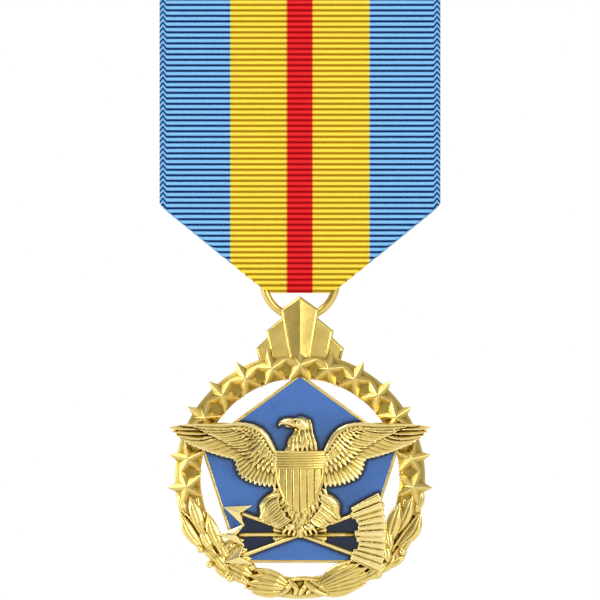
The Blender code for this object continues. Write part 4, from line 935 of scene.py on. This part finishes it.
def buildWing(blank, side):
    c = wingCurves
    blades = []
    for row, shape in (("flight", flightShape), ("covert", scaleShape), ("lesser", scaleShape)):
        half, height, crown, quill, tilt, sag = wingRows[row]
        count = eagle[row + "s"]
        blades += featherRow(blank, c[row + "Tips"], c[row + "Roots"], count, half, shape, height, crown,
                             quill, tilt, sag, side)
        blades += featherRow(blank, c[row + "Tips"], c[row + "Roots"], count, wingRows["bedHalf"], bedShape,
                             height - wingRows["bedDrop"], 0.0, 0.0, 0.0, sag, side)
    for share in (0.35, 0.68):  # two rows of small scales by the arm
        outer, inner = np.array(c["lesserTips"]), np.array(c["lesserRoots"])
        tips = outer * (1 - share) + inner * share
        roots = outer * (0.45 - share * 0.5) + inner * (0.55 + share * 0.5)
        blades += featherRow(blank, tips, roots, eagle["lessers"] + 2, 0.29, scaleShape, 2.44 + 0.08 * share,
                             0.10, 0.03, 0.12, 0.0, side)
    blades.append(layBlade(blank, mirrored(c["arm"], side), 0.5, armWidths, eagleFloor,
                           (2.15, 2.38, 2.42, 2.38, 2.28, 2.2, 2.15), 0.2))
    return blades


def ellipsoid(x, y, z, across, up, deep, lean=0.0):
    bpy.ops.mesh.primitive_uv_sphere_add(segments=32, ring_count=20, radius=1)
    ball = bpy.context.object
    spots = readPoints(ball) * np.array((across, up, deep))
    turn = math.radians(lean)
    writePoints(ball, np.column_stack([spots[:, 0] * math.cos(turn) - spots[:, 1] * math.sin(turn) + x,
                                       spots[:, 0] * math.sin(turn) + spots[:, 1] * math.cos(turn) + y,
                                       np.maximum(spots[:, 2] + z, eagle["sunk"])]))
    return ball


# balls of the head: place, half-sizes, lean
skull = ((0.45, 6.55, 1.75, 1.08, 1.05, 1.08, 0), (0.05, 6.9, 1.85, 1.05, 0.82, 1.05, 6),
         (-0.75, 6.85, 1.8, 0.80, 0.56, 0.90, 2))
eye = (-0.25, 7.02, 2.74, 0.17, 0.15, 0.12)
# neck, hooked beak, its lower half and the brow: points, half-width, shape, floor, heights, crown, rib
headBlades = (
    (((0.40, 7.0), (0.45, 5.8), (0.35, 4.7), (0.15, 3.2)), 1.6, (0.58, 0.70, 0.76, 1.0, 1.34), eagle["back"],
     (2.1, 2.18, 2.22, 2.2), 0.26, 0.0),
    (((-0.7, 7.02), (-1.6, 7.06), (-2.3, 6.92), (-2.66, 6.5)), 0.46, (1.0, 1.0, 0.90, 0.66, 0.14), 1.2,
     (2.35, 2.3, 2.15, 1.95), 0.28, 0.04),
    (((-0.6, 6.52), (-1.2, 6.48), (-1.85, 6.52)), 0.24, (1, 0.9, 0.3), 1.2, (2.1, 2.0, 1.9), 0.18, 0.0),
    (((-1.05, 7.30), (-0.35, 7.38), (0.35, 7.18)), 0.14, (0.5, 1, 0.5), eagle["back"], (2.68, 2.82, 2.70),
     0.12, 0.0))
# rows of long pointed neck feathers: height, count, spread, middle, half-width, front
neckRows = ((6.2, 5, 0.85, 0.45, 0.26, 2.60), (5.4, 5, 0.95, 0.42, 0.27, 2.62),
            (4.8, 6, 1.20, 0.36, 0.29, 2.64), (4.2, 7, 1.55, 0.24, 0.30, 2.60))


def buildHead(blank):
    b = eagle["back"]
    shapes = [ellipsoid(*ball) for ball in skull]
    shapes += [layBlade(blank, *blade) for blade in headBlades]
    shapes.append(ellipsoid(*eye))
    for height, count, spread, middle, half, front in neckRows:
        for i in range(count):
            share = 2 * i / (count - 1) - 1
            x = spread * share + middle
            low = 0.42 * share ** 2
            line = [(spread * share * 0.8 + middle, height + 1.1), (x, height),
                    (x + 0.30 * share, height - 1.05)]
            shapes.append(layBlade(blank, line, half, (0.6, 1, 1, 0.7, 0.05), b,
                                   (front - 0.12 - low, front - low, front - 0.10 - low), 0.10, 0.06, 0.18))
    return shapes


legs = {"seed": 7, "rows": 11, "half": 0.20, "thighFeathers": 12, "thighHalf": 0.30}
# lines of the left thigh's feathers, outermost first
thighLines = (
    ((-2.5, -1.8), (-3.85, -2.3), (-4.62, -3.2), (-4.85, -4.15)),
    ((-2.7, -2.4), (-3.9, -3.15), (-4.6, -4.1), (-5.05, -4.95)),
    ((-2.6, -3.2), (-3.6, -3.95), (-4.2, -4.5), (-4.75, -5.1)),
    ((-2.2, -3.9), (-3.1, -4.5), (-3.7, -4.95), (-4.2, -5.4)),
    ((-1.8, -4.5), (-2.6, -5.05), (-3.1, -5.4), (-3.6, -5.75)),
    ((-1.3, -5.0), (-2.0, -5.5), (-2.5, -5.8), (-3.0, -6.1)))


def buildLegs(blank):
    b = eagle["back"]
    shapes = [ellipsoid(0, -0.6, b, 3.3, 4.9, 1.15), ellipsoid(0, -4.5, b, 2.6, 2.1, 1.15)]
    draw = np.random.default_rng(legs["seed"])
    lines = np.array(thighLines)
    for side in (-1, 1):
        shapes.append(ellipsoid(side * 2.6, -3.9, b, 1.7, 2.0, 1.0, side * 30))
        for u in np.linspace(0, len(lines) - 1, legs["thighFeathers"]):
            i = min(int(u), len(lines) - 2)
            spots = lines[i] + (lines[i + 1] - lines[i]) * (u - i) + draw.uniform(-0.07, 0.07, (4, 2))
            front = 2.08 + draw.uniform(-0.05, 0.05)
            shapes.append(layBlade(blank, mirrored(spots, -side), legs["thighHalf"], flightShape, b,
                                   (front, front, front - 0.1, front - 0.38), 0.11, 0.04, 0.22 * side))
        # shafts and toes run together by the feet
        for lift in (-0.55, 0.6):
            shapes.append(layBlade(blank, [(side * 0.5, -6.95), (side * 3.3, -6.96 + lift)], 0.34,
                                   (1, 1, 0.9, 0.5), b, (1.62, 1.55), 0.12))
    # short wavy feathers down to the feet, rows nearer the foot lie lower
    for row in range(legs["rows"]):
        height = -1.7 - 0.44 * row
        spread = 3.2 - 0.22 * row
        count = 17 - row // 2
        for i in range(count):
            share = 2 * i / (count - 1) - 1
            x = spread * share + draw.uniform(-0.12, 0.12)
            y = height - 0.5 * (1 - share * share) + draw.uniform(-0.18, 0.18)
            lean = 0.35 * share + draw.uniform(-0.40, 0.40)
            wave = draw.uniform(-0.22, 0.22)
            front = 2.30 - 0.04 * row - 0.28 * share ** 2 + draw.uniform(-0.04, 0.04)
            line = [(x, y + 0.6), (x + 0.3 * lean + wave, y), (x + lean, y - 0.75)]
            shapes.append(layBlade(blank, line, legs["half"] * draw.uniform(0.75, 1.2), (0.6, 1, 1, 0.8, 0.1),
                                   b, (front - 0.06, front, front - 0.14), 0.10, 0.0,
                                   draw.uniform(-0.08, 0.08)))
    # toes round the shafts
    for side in (-1, 1):
        for x, y, lean in ((0.72, -6.75, 14), (1.30, -6.6, 24), (1.9, -6.45, 34)):
            shapes.append(ellipsoid(side * x, y, 1.80, 0.22, 0.52, 0.45, side * lean))
        shapes.append(ellipsoid(side * 1.2, -6.0, 1.6, 0.8, 0.6, 0.62))
    return shapes


shield = {"top": 3.5, "point": -4.3, "half": 3.22,
          "shape": (1.0, 0.99, 0.965, 0.925, 0.855, 0.72, 0.49, 0.02), "chiefEnd": 1.25, "front": 2.44,
          "bulge": 0.50, "rim": 0.16, "pale": 0.90, "lines": 7, "cells": 108}


def buildShield():
    s = shield
    blank = bladeBlank(s["cells"], s["cells"])
    plate = layBlade(blank, [(0.03, s["top"]), (0.03, s["point"])], s["half"], s["shape"], 1.4, (0, 0), 0)
    bpy.data.objects.remove(blank)
    spots = readPoints(plate)
    upper = spots[:, 2] < 1.0
    x, y = spots[:, 0], spots[:, 1]
    t = (s["top"] - y) / (s["top"] - s["point"])
    half = s["half"] * np.interp(t, *smoothSteps(s["shape"]))
    edge = np.minimum(half - np.abs(x), s["top"] - y)
    face = s["front"] + s["bulge"] * (1 - (x / s["half"]) ** 2) * (1 - 0.35 * (2 * t - 0.9) ** 2)
    rim = 0.07 * easeIn(1 - np.abs(edge - 0.16) / s["rim"]) - 0.12 * easeIn(1 - edge / 0.08)
    line = (s["top"] - y) / (s["top"] - s["chiefEnd"]) * s["lines"]
    bars = np.exp(-((line - np.rint(line)) / 0.19) ** 2)
    stripe = x / s["pale"]
    pales = np.exp(-((stripe - np.rint(stripe)) / 0.09) ** 2)
    inside = easeIn((edge - 0.22) / 0.14)
    chief = y > s["chiefEnd"]
    groove = inside * np.where(chief, 0.8 * bars, pales)
    face = face + rim + 0.05 * inside * chief - groove * np.where(chief, 0.075, 0.13)
    spots[:, 2] = np.where(upper, face, spots[:, 2])
    writePoints(plate, spots)
    # painted shade in the stripe grooves and a painted highlight on the raised rim
    setPaintedShadeHighlight(plate, np.where(upper, 0.75 * groove - 2.2 * np.maximum(rim, 0) - 0.16, 0))
    return plate


arrows = {"crossing": (0.0, -6.96), "angles": (20.0, 0.0, -20.0), "lifts": (0.0, 0.05, 0.02),
          "shaftHalf": 0.27, "headLength": 3.3, "headHalf": 1.42, "notch": 0.95, "tip": 10.1, "vaneTo": 11.6,
          "shaftTop": 1.55, "headRim": 1.98, "headRidge": 2.38, "headThick": 0.24}


def arrowSpot(angle, along, across=0.0):  # along: + towards the head, on the left
    turn = math.radians(angle)
    x, y = arrows["crossing"]
    return (x - along * math.cos(turn) - across * math.sin(turn),
            y + along * math.sin(turn) - across * math.cos(turn))


def buildArrow(blank, angle, lift):
    a = arrows
    shapes = []
    top = a["shaftTop"] + lift
    shapes.append(layBlade(blank, [arrowSpot(angle, a["tip"] - 1.5), arrowSpot(angle, -a["vaneTo"] + 0.5)],
                           a["shaftHalf"], (1, 1, 1), eagleFloor, (top + 0.1, top, top, top, top + 0.1),
                           0.26))
    # head: a ridged kite with a notch behind
    bpy.ops.mesh.primitive_circle_add(vertices=4, radius=1, fill_type="TRIFAN")
    head = bpy.context.object
    outline = [arrowSpot(angle, a["tip"]), arrowSpot(angle, a["tip"] - a["headLength"], a["headHalf"]),
               arrowSpot(angle, a["tip"] - a["headLength"] + a["notch"]),
               arrowSpot(angle, a["tip"] - a["headLength"], -a["headHalf"])]
    ridge = arrowSpot(angle, a["tip"] - 0.72 * a["headLength"] + 0.3)
    spots = readPoints(head)
    middle = int(np.argmin(np.hypot(spots[:, 0], spots[:, 1])))
    ring = [i for i in range(5) if i != middle]
    ring.sort(key=lambda i: math.atan2(spots[i, 1], spots[i, 0]))
    for i, spot in zip(ring, outline):
        spots[i] = (*spot, a["headRim"] + lift)
    spots[middle] = (*ridge, a["headRidge"] + lift)
    writePoints(head, spots)
    giveWalls(head, a["headThick"])
    shapes.append(head)
    return shapes


fletching = {"from": -22.5, "to": 24.5, "ridges": 11, "start": 6.75, "scallop": 0.6, "end": 10.6,
             "flare": 0.4, "half": 0.35, "front": 1.98, "shaftLift": 0.16, "bedDrop": 0.17}
vaneShape = (0.62, 0.8, 0.92, 1.05, 1.15)


def buildFletching(blank):  # one fan of ridges over the three tails, scalloped between the shafts
    f = fletching
    shapes = []
    for turn in np.linspace(f["from"], f["to"], f["ridges"]):
        toShaft = min(abs(turn - angle) for angle in arrows["angles"])
        start = f["start"] + f["scallop"] * easeIn(toShaft / 8)
        end = f["end"] + f["flare"] * (turn / f["to"]) ** 2
        line = [arrowSpot(-turn, -start), arrowSpot(-turn, -end)]
        top = f["front"] + f["shaftLift"] * easeIn(1 - toShaft / 3)
        shapes.append(layBlade(blank, line, f["half"], vaneShape, eagleFloor, (top - 0.08, top, top - 0.03),
                               0.06, 0.0, 0.05))
        bed = f["front"] - f["bedDrop"]
        shapes.append(layBlade(blank, line, f["half"] * 1.7, vaneShape, eagleFloor, (bed, bed, bed), 0.0))
    return shapes


def buildEagle(material):
    feather = bladeBlank(8, 14)
    shapes = buildWing(feather, 1) + buildWing(feather, -1) + buildHead(feather) + buildLegs(feather)
    for angle, lift in zip(arrows["angles"], arrows["lifts"]):
        shapes += buildArrow(feather, angle, lift)
    shapes += buildFletching(feather)
    bpy.data.objects.remove(feather)
    piece = joinAll(shapes, "eagleRelief")
    fuse(piece, eagle["voxel"], 1, eagle["most"])
    # painted shade in the hollows and painted highlight on the high spots of the feathers
    paintShadeFromRelief(piece, eagle["calm"], eagle["depth"])
    piece = joinAll([piece, buildShield()], "eagleRelief")
    spots = readPoints(piece)
    steep = np.abs(readNormals(piece)[:, 2]) < 0.6
    walls = spots[steep & (spots[:, 2] < eagle["wallTop"])]
    seatPiece(piece, material, "pendant", "eagle")
    return walls


eagleWalls = buildEagle(struckGilt)


# suspender: five rays in three steps, each with a raised border and a roof ridge
rays = {"border": 0.20, "borderRise": 0.17, "gutter": 0.16, "gutterDrop": 0.13, "edgeRound": 0.035,
        "foot": 14.55}
# each step: apex, shoulder, half-widths at shoulder and foot, heights at edge and ridge, back
raySteps = ((22.62, 20.92, 2.36, 1.30, 1.02, 1.46, 0.06), (21.75, 18.27, 4.18, 3.42, 0.72, 1.05, 0.04),
            (21.30, 16.12, 5.47, 5.05, 0.50, 0.82, 0.02))


def outlinePlate(outline):  # a flat face with these corners, clockwise from the top
    bpy.ops.mesh.primitive_circle_add(vertices=len(outline), radius=1, fill_type="NGON")
    plate = bpy.context.object
    spots = readPoints(plate)
    order = np.argsort(np.arctan2(spots[:, 0], spots[:, 1] + 1e-6) % (2 * math.pi - 1e-3))
    spots[order, :2] = outline
    writePoints(plate, spots)
    if plate.data.polygons[0].normal.z < 0:
        plate.data.flip_normals()
    return plate


def buildRay(apex, shoulder, half, footHalf, edge, ridge, back):
    r = rays
    ray = outlinePlate([(0, apex), (half, shoulder), (footHalf, r["foot"]), (0, r["foot"]),
                        (-footHalf, r["foot"]), (-half, shoulder)])
    for point in ray.data.vertices:
        point.co.z = back
    bpy.ops.object.mode_set(mode="EDIT")
    bpy.ops.mesh.select_all(action="SELECT")
    bpy.ops.mesh.extrude_region_move(TRANSFORM_OT_translate={"value": (0, 0, edge - back)})
    bpy.ops.mesh.inset(thickness=r["border"], depth=r["borderRise"])
    bpy.ops.mesh.inset(thickness=r["gutter"], depth=-r["gutterDrop"])
    bpy.ops.object.mode_set(mode="OBJECT")
    inner = max((face for face in ray.data.polygons if face.select), key=lambda face: face.area)
    ends = sorted(inner.vertices, key=lambda i: abs(ray.data.vertices[i].co.x))[:2]
    for point in ray.data.vertices:
        point.select = point.index in ends
    for line in ray.data.edges:
        line.select = False
    for face in ray.data.polygons:
        face.select = False
    bpy.ops.object.mode_set(mode="EDIT")
    bpy.ops.mesh.select_mode(type="VERT")
    bpy.ops.mesh.vert_connect_path()
    bpy.ops.object.mode_set(mode="OBJECT")
    for i in ends:
        ray.data.vertices[i].co.z = ridge
    facesOut(ray)
    softenEdges(ray, r["edgeRound"], 2, 14)
    return ray


def buildSuspender(material):
    piece = joinAll([buildRay(*step) for step in raySteps], "raySuspender")
    seatPiece(piece, material, "pendant", "ray_suspender", 14)


buildSuspender(struckGilt)


# pentagon plate with its rim, and the enamel in its cell
pentagon = {"radius": 13.0, "back": 0.03, "thick": 0.8, "rim": 0.36, "edgeRound": 0.13, "floor": 0.4,
            "enamelTop": 0.70, "cells": 180, "shadow": 0.34, "fan": 21.0, "fanReach": 7.4}


def pentagonCorners(radius):
    return [polarSpot(72 * i, radius) for i in range(5)]


def buildPentagon(material):
    p = pentagon
    plate = outlinePlate(pentagonCorners(p["radius"]))
    for point in plate.data.vertices:
        point.co.z = p["back"]
    bpy.ops.object.mode_set(mode="EDIT")
    bpy.ops.mesh.select_all(action="SELECT")
    bpy.ops.mesh.extrude_region_move(TRANSFORM_OT_translate={"value": (0, 0, p["thick"] - p["back"])})
    bpy.ops.mesh.inset(thickness=p["rim"], depth=0)
    bpy.ops.mesh.extrude_region_move(TRANSFORM_OT_translate={"value": (0, 0, p["floor"] - p["thick"])})
    bpy.ops.object.mode_set(mode="OBJECT")
    facesOut(plate)
    softenEdges(plate, p["edgeRound"], 4)
    plate.name = "pentagonPlate"
    seatPiece(plate, material, "pendant", "pentagon_plate", 30)


def buildEnamel(material, eagleWalls):
    p = pentagon
    bpy.ops.mesh.primitive_grid_add(x_subdivisions=p["cells"], y_subdivisions=p["cells"],
                                    size=2 * p["radius"])
    field = bpy.context.object
    field.name = "enamelField"
    apothem = p["radius"] * math.cos(math.radians(36)) - p["rim"] + 0.05
    bpy.ops.object.mode_set(mode="EDIT")
    for i in range(5):
        out = polarSpot(36 + 72 * i, 1)
        bpy.ops.mesh.select_all(action="SELECT")
        bpy.ops.mesh.bisect(plane_co=(out[0] * apothem, out[1] * apothem, 0), plane_no=(*out, 0),
                            clear_outer=True)
    bpy.ops.mesh.select_all(action="SELECT")
    bpy.ops.mesh.extrude_region_move(TRANSFORM_OT_translate={"value": (0, 0, p["enamelTop"])})
    bpy.ops.object.mode_set(mode="OBJECT")
    facesOut(field)
    spots = readPoints(field)
    upper = spots[:, 2] > 0.3
    sides = np.stack([spots[:, :2] @ np.array(polarSpot(36 + 72 * i, 1)) for i in range(5)])
    toRim = apothem - sides.max(0)
    spots[:, 2] = np.where(upper, p["enamelTop"] + 0.05 * np.exp(-toRim / 0.25), p["floor"] - 0.05)
    writePoints(field, spots)
    # painted shadow darkens the enamel close beside the eagle's walls; the enamel is also darker between the
    # arrows
    near = KDTree(len(eagleWalls))
    for i, spot in enumerate(eagleWalls):
        near.insert((spot[0], spot[1], 0), i)
    near.balance()
    reach = np.array([near.find((x, y, 0))[2] for x, y, z in spots])
    x, y = arrows["crossing"]
    turn = np.degrees(np.arctan2(spots[:, 1] - y, np.abs(spots[:, 0] - x)))
    fan = easeIn((p["fan"] - np.abs(turn)) / 3) * easeIn((p["fanReach"] - np.abs(spots[:, 0])) / 0.4)
    # painted shadow beside the eagle's walls, and a darker fan between the arrow shafts
    shade = np.maximum(np.exp(-(reach / p["shadow"]) ** 2), 0.92 * fan)
    layer = field.data.attributes.new("shade", "FLOAT", "POINT")
    layer.data.foreach_set("value", shade.astype(np.float32))
    seatPiece(field, material, "pendant", "enamel_field", 40)


# deep is the painted shadow colour beside the eagle, also used for the darker fan between the arrows
enamelLook = {"deep": (0.004, 0.014, 0.055), "blue": (0.053, 0.158, 0.475), "pale": (0.092, 0.216, 0.57),
              "rough": 0.24}


def enamelMaterial():
    look = enamelLook
    material, nodes, links, shader = newMaterial("blueEnamel")
    calc = mathTool(nodes, links)
    place = nodes.new("ShaderNodeTexCoord").outputs["Object"]
    cloud = noiseNode(nodes, links, place, 260, 5)
    fleck = noiseNode(nodes, links, place, 3400, 2)
    mottle = calc("MULTIPLY_ADD", cloud, 0.30, 0.16)
    mottle = calc("MULTIPLY_ADD", fleck, 0.34, mottle)
    # the shade value pulls the colour towards deep: painted shadow by the eagle, darker between the arrows
    level = calc("MULTIPLY_ADD", attributeNode(nodes, "shade"), -0.62, mottle)
    ramp = rampNode(nodes, [(0.0, look["deep"]), (0.42, look["blue"]), (0.95, look["pale"])])
    links.new(level, ramp.inputs["Fac"])
    links.new(ramp.outputs["Color"], shader.inputs["Base Color"])
    gloss = calc("MULTIPLY_ADD", cloud, 0.14, look["rough"] - 0.07)
    links.new(gloss, shader.inputs["Roughness"])
    addBump(nodes, links, shader, fleck, 0.25, 0.02)
    return material


buildPentagon(struckGilt)
buildEnamel(enamelMaterial(), eagleWalls)


# round ring of wire, with its butt joint hidden in the ribbon's fold
wireRing = {"centre": (0.0, -0.75, -37.05), "line": 4.5, "wire": 1.0, "turns": 180, "seam": 0.86}


def buildRing(material):
    r = wireRing
    bpy.ops.mesh.primitive_torus_add(major_radius=r["line"], minor_radius=r["wire"] / 2,
                                     major_segments=r["turns"], minor_segments=28)
    ring = bpy.context.object
    ring.name = "suspensionRing"
    spots = readPoints(ring)
    turn = np.degrees(np.arctan2(spots[:, 0], spots[:, 1]))
    line = np.column_stack([np.sin(np.radians(turn)), np.cos(np.radians(turn)), 0 * turn]) * r["line"]
    pinch = 1 - (1 - r["seam"]) * np.exp(-(turn / 1.6) ** 2)
    writePoints(ring, line + (spots - line) * pinch[:, None])
    seatPiece(ring, material, "ring", "suspension_ring", None, r["centre"])


wireLook = dict(giltLook, rough=0.26, grain=5200, grainDepth=0.008)
wireGilt = giltMaterial("wireGilt", wireLook)
buildRing(wireGilt)


# brooch, pin and catch: the solids' own forms with rounded edges and a worn brass finish
# the recess colour is painted shade for hollows; the edge colour is partly burnished wear and partly a
# painted highlight on high spots
brassLook = {"paintedRecessShade": (0.05, 0.03, 0.008), "low": (0.26, 0.17, 0.05), "face": (0.52, 0.37, 0.13),
             "edge": (0.80, 0.63, 0.30), "rough": 0.36, "roughSpread": 0.20, "grain": 7000,
             "grainDepth": 0.010}
fittings = {
    "broochPlate": ("brooch_plate", "brooch_and_ribbon", 0.10),
    "hingeBracket": ("hinge_bracket", "brooch_and_ribbon", 0.06),
    "hingeRivet": ("hinge_rivet", "brooch_and_ribbon", 0.05),
    "catchHousing": ("catch_housing", "brooch_and_ribbon", 0.06), "pinStem": ("pin_stem", "pin", 0.03),
    "catchRoller": ("catch_roller", "roller", 0.04), "suspensionEye": ("suspension_eye", "pendant", 0.0),
    "bodyRivetLeft": ("body_rivet_left", "pendant", 0.07),
    "bodyRivetRight": ("body_rivet_right", "pendant", 0.07),
    "wingRivetLeft": ("wing_rivet_left", "pendant", 0.07),
    "wingRivetRight": ("wing_rivet_right", "pendant", 0.07)}


def polishFitting(name, node, body, rounding, material):
    source = frame["nodes"][node]
    piece = bpy.data.objects.new(name, source.data.copy())
    bpy.context.collection.objects.link(piece)
    activate(piece)
    bpy.ops.object.mode_set(mode="EDIT")
    bpy.ops.mesh.select_all(action="SELECT")
    bpy.ops.mesh.remove_doubles(threshold=0.002 * mm)
    bpy.ops.mesh.dissolve_limited(angle_limit=math.radians(1.5))
    bpy.ops.object.mode_set(mode="OBJECT")
    if rounding > 0:
        softenEdges(piece, rounding * mm, 3, 40)
    activate(piece)
    bpy.ops.object.shade_smooth_by_angle(angle=math.radians(38))
    finishPiece(piece, material, body, [node])
    return piece


brass = giltMaterial("wornBrass", brassLook)
for name, (node, body, rounding) in fittings.items():
    gilt = body == "pendant"
    polishFitting(name, node, body, rounding, wireGilt if gilt else brass)
print("fittings:", len(fittings))
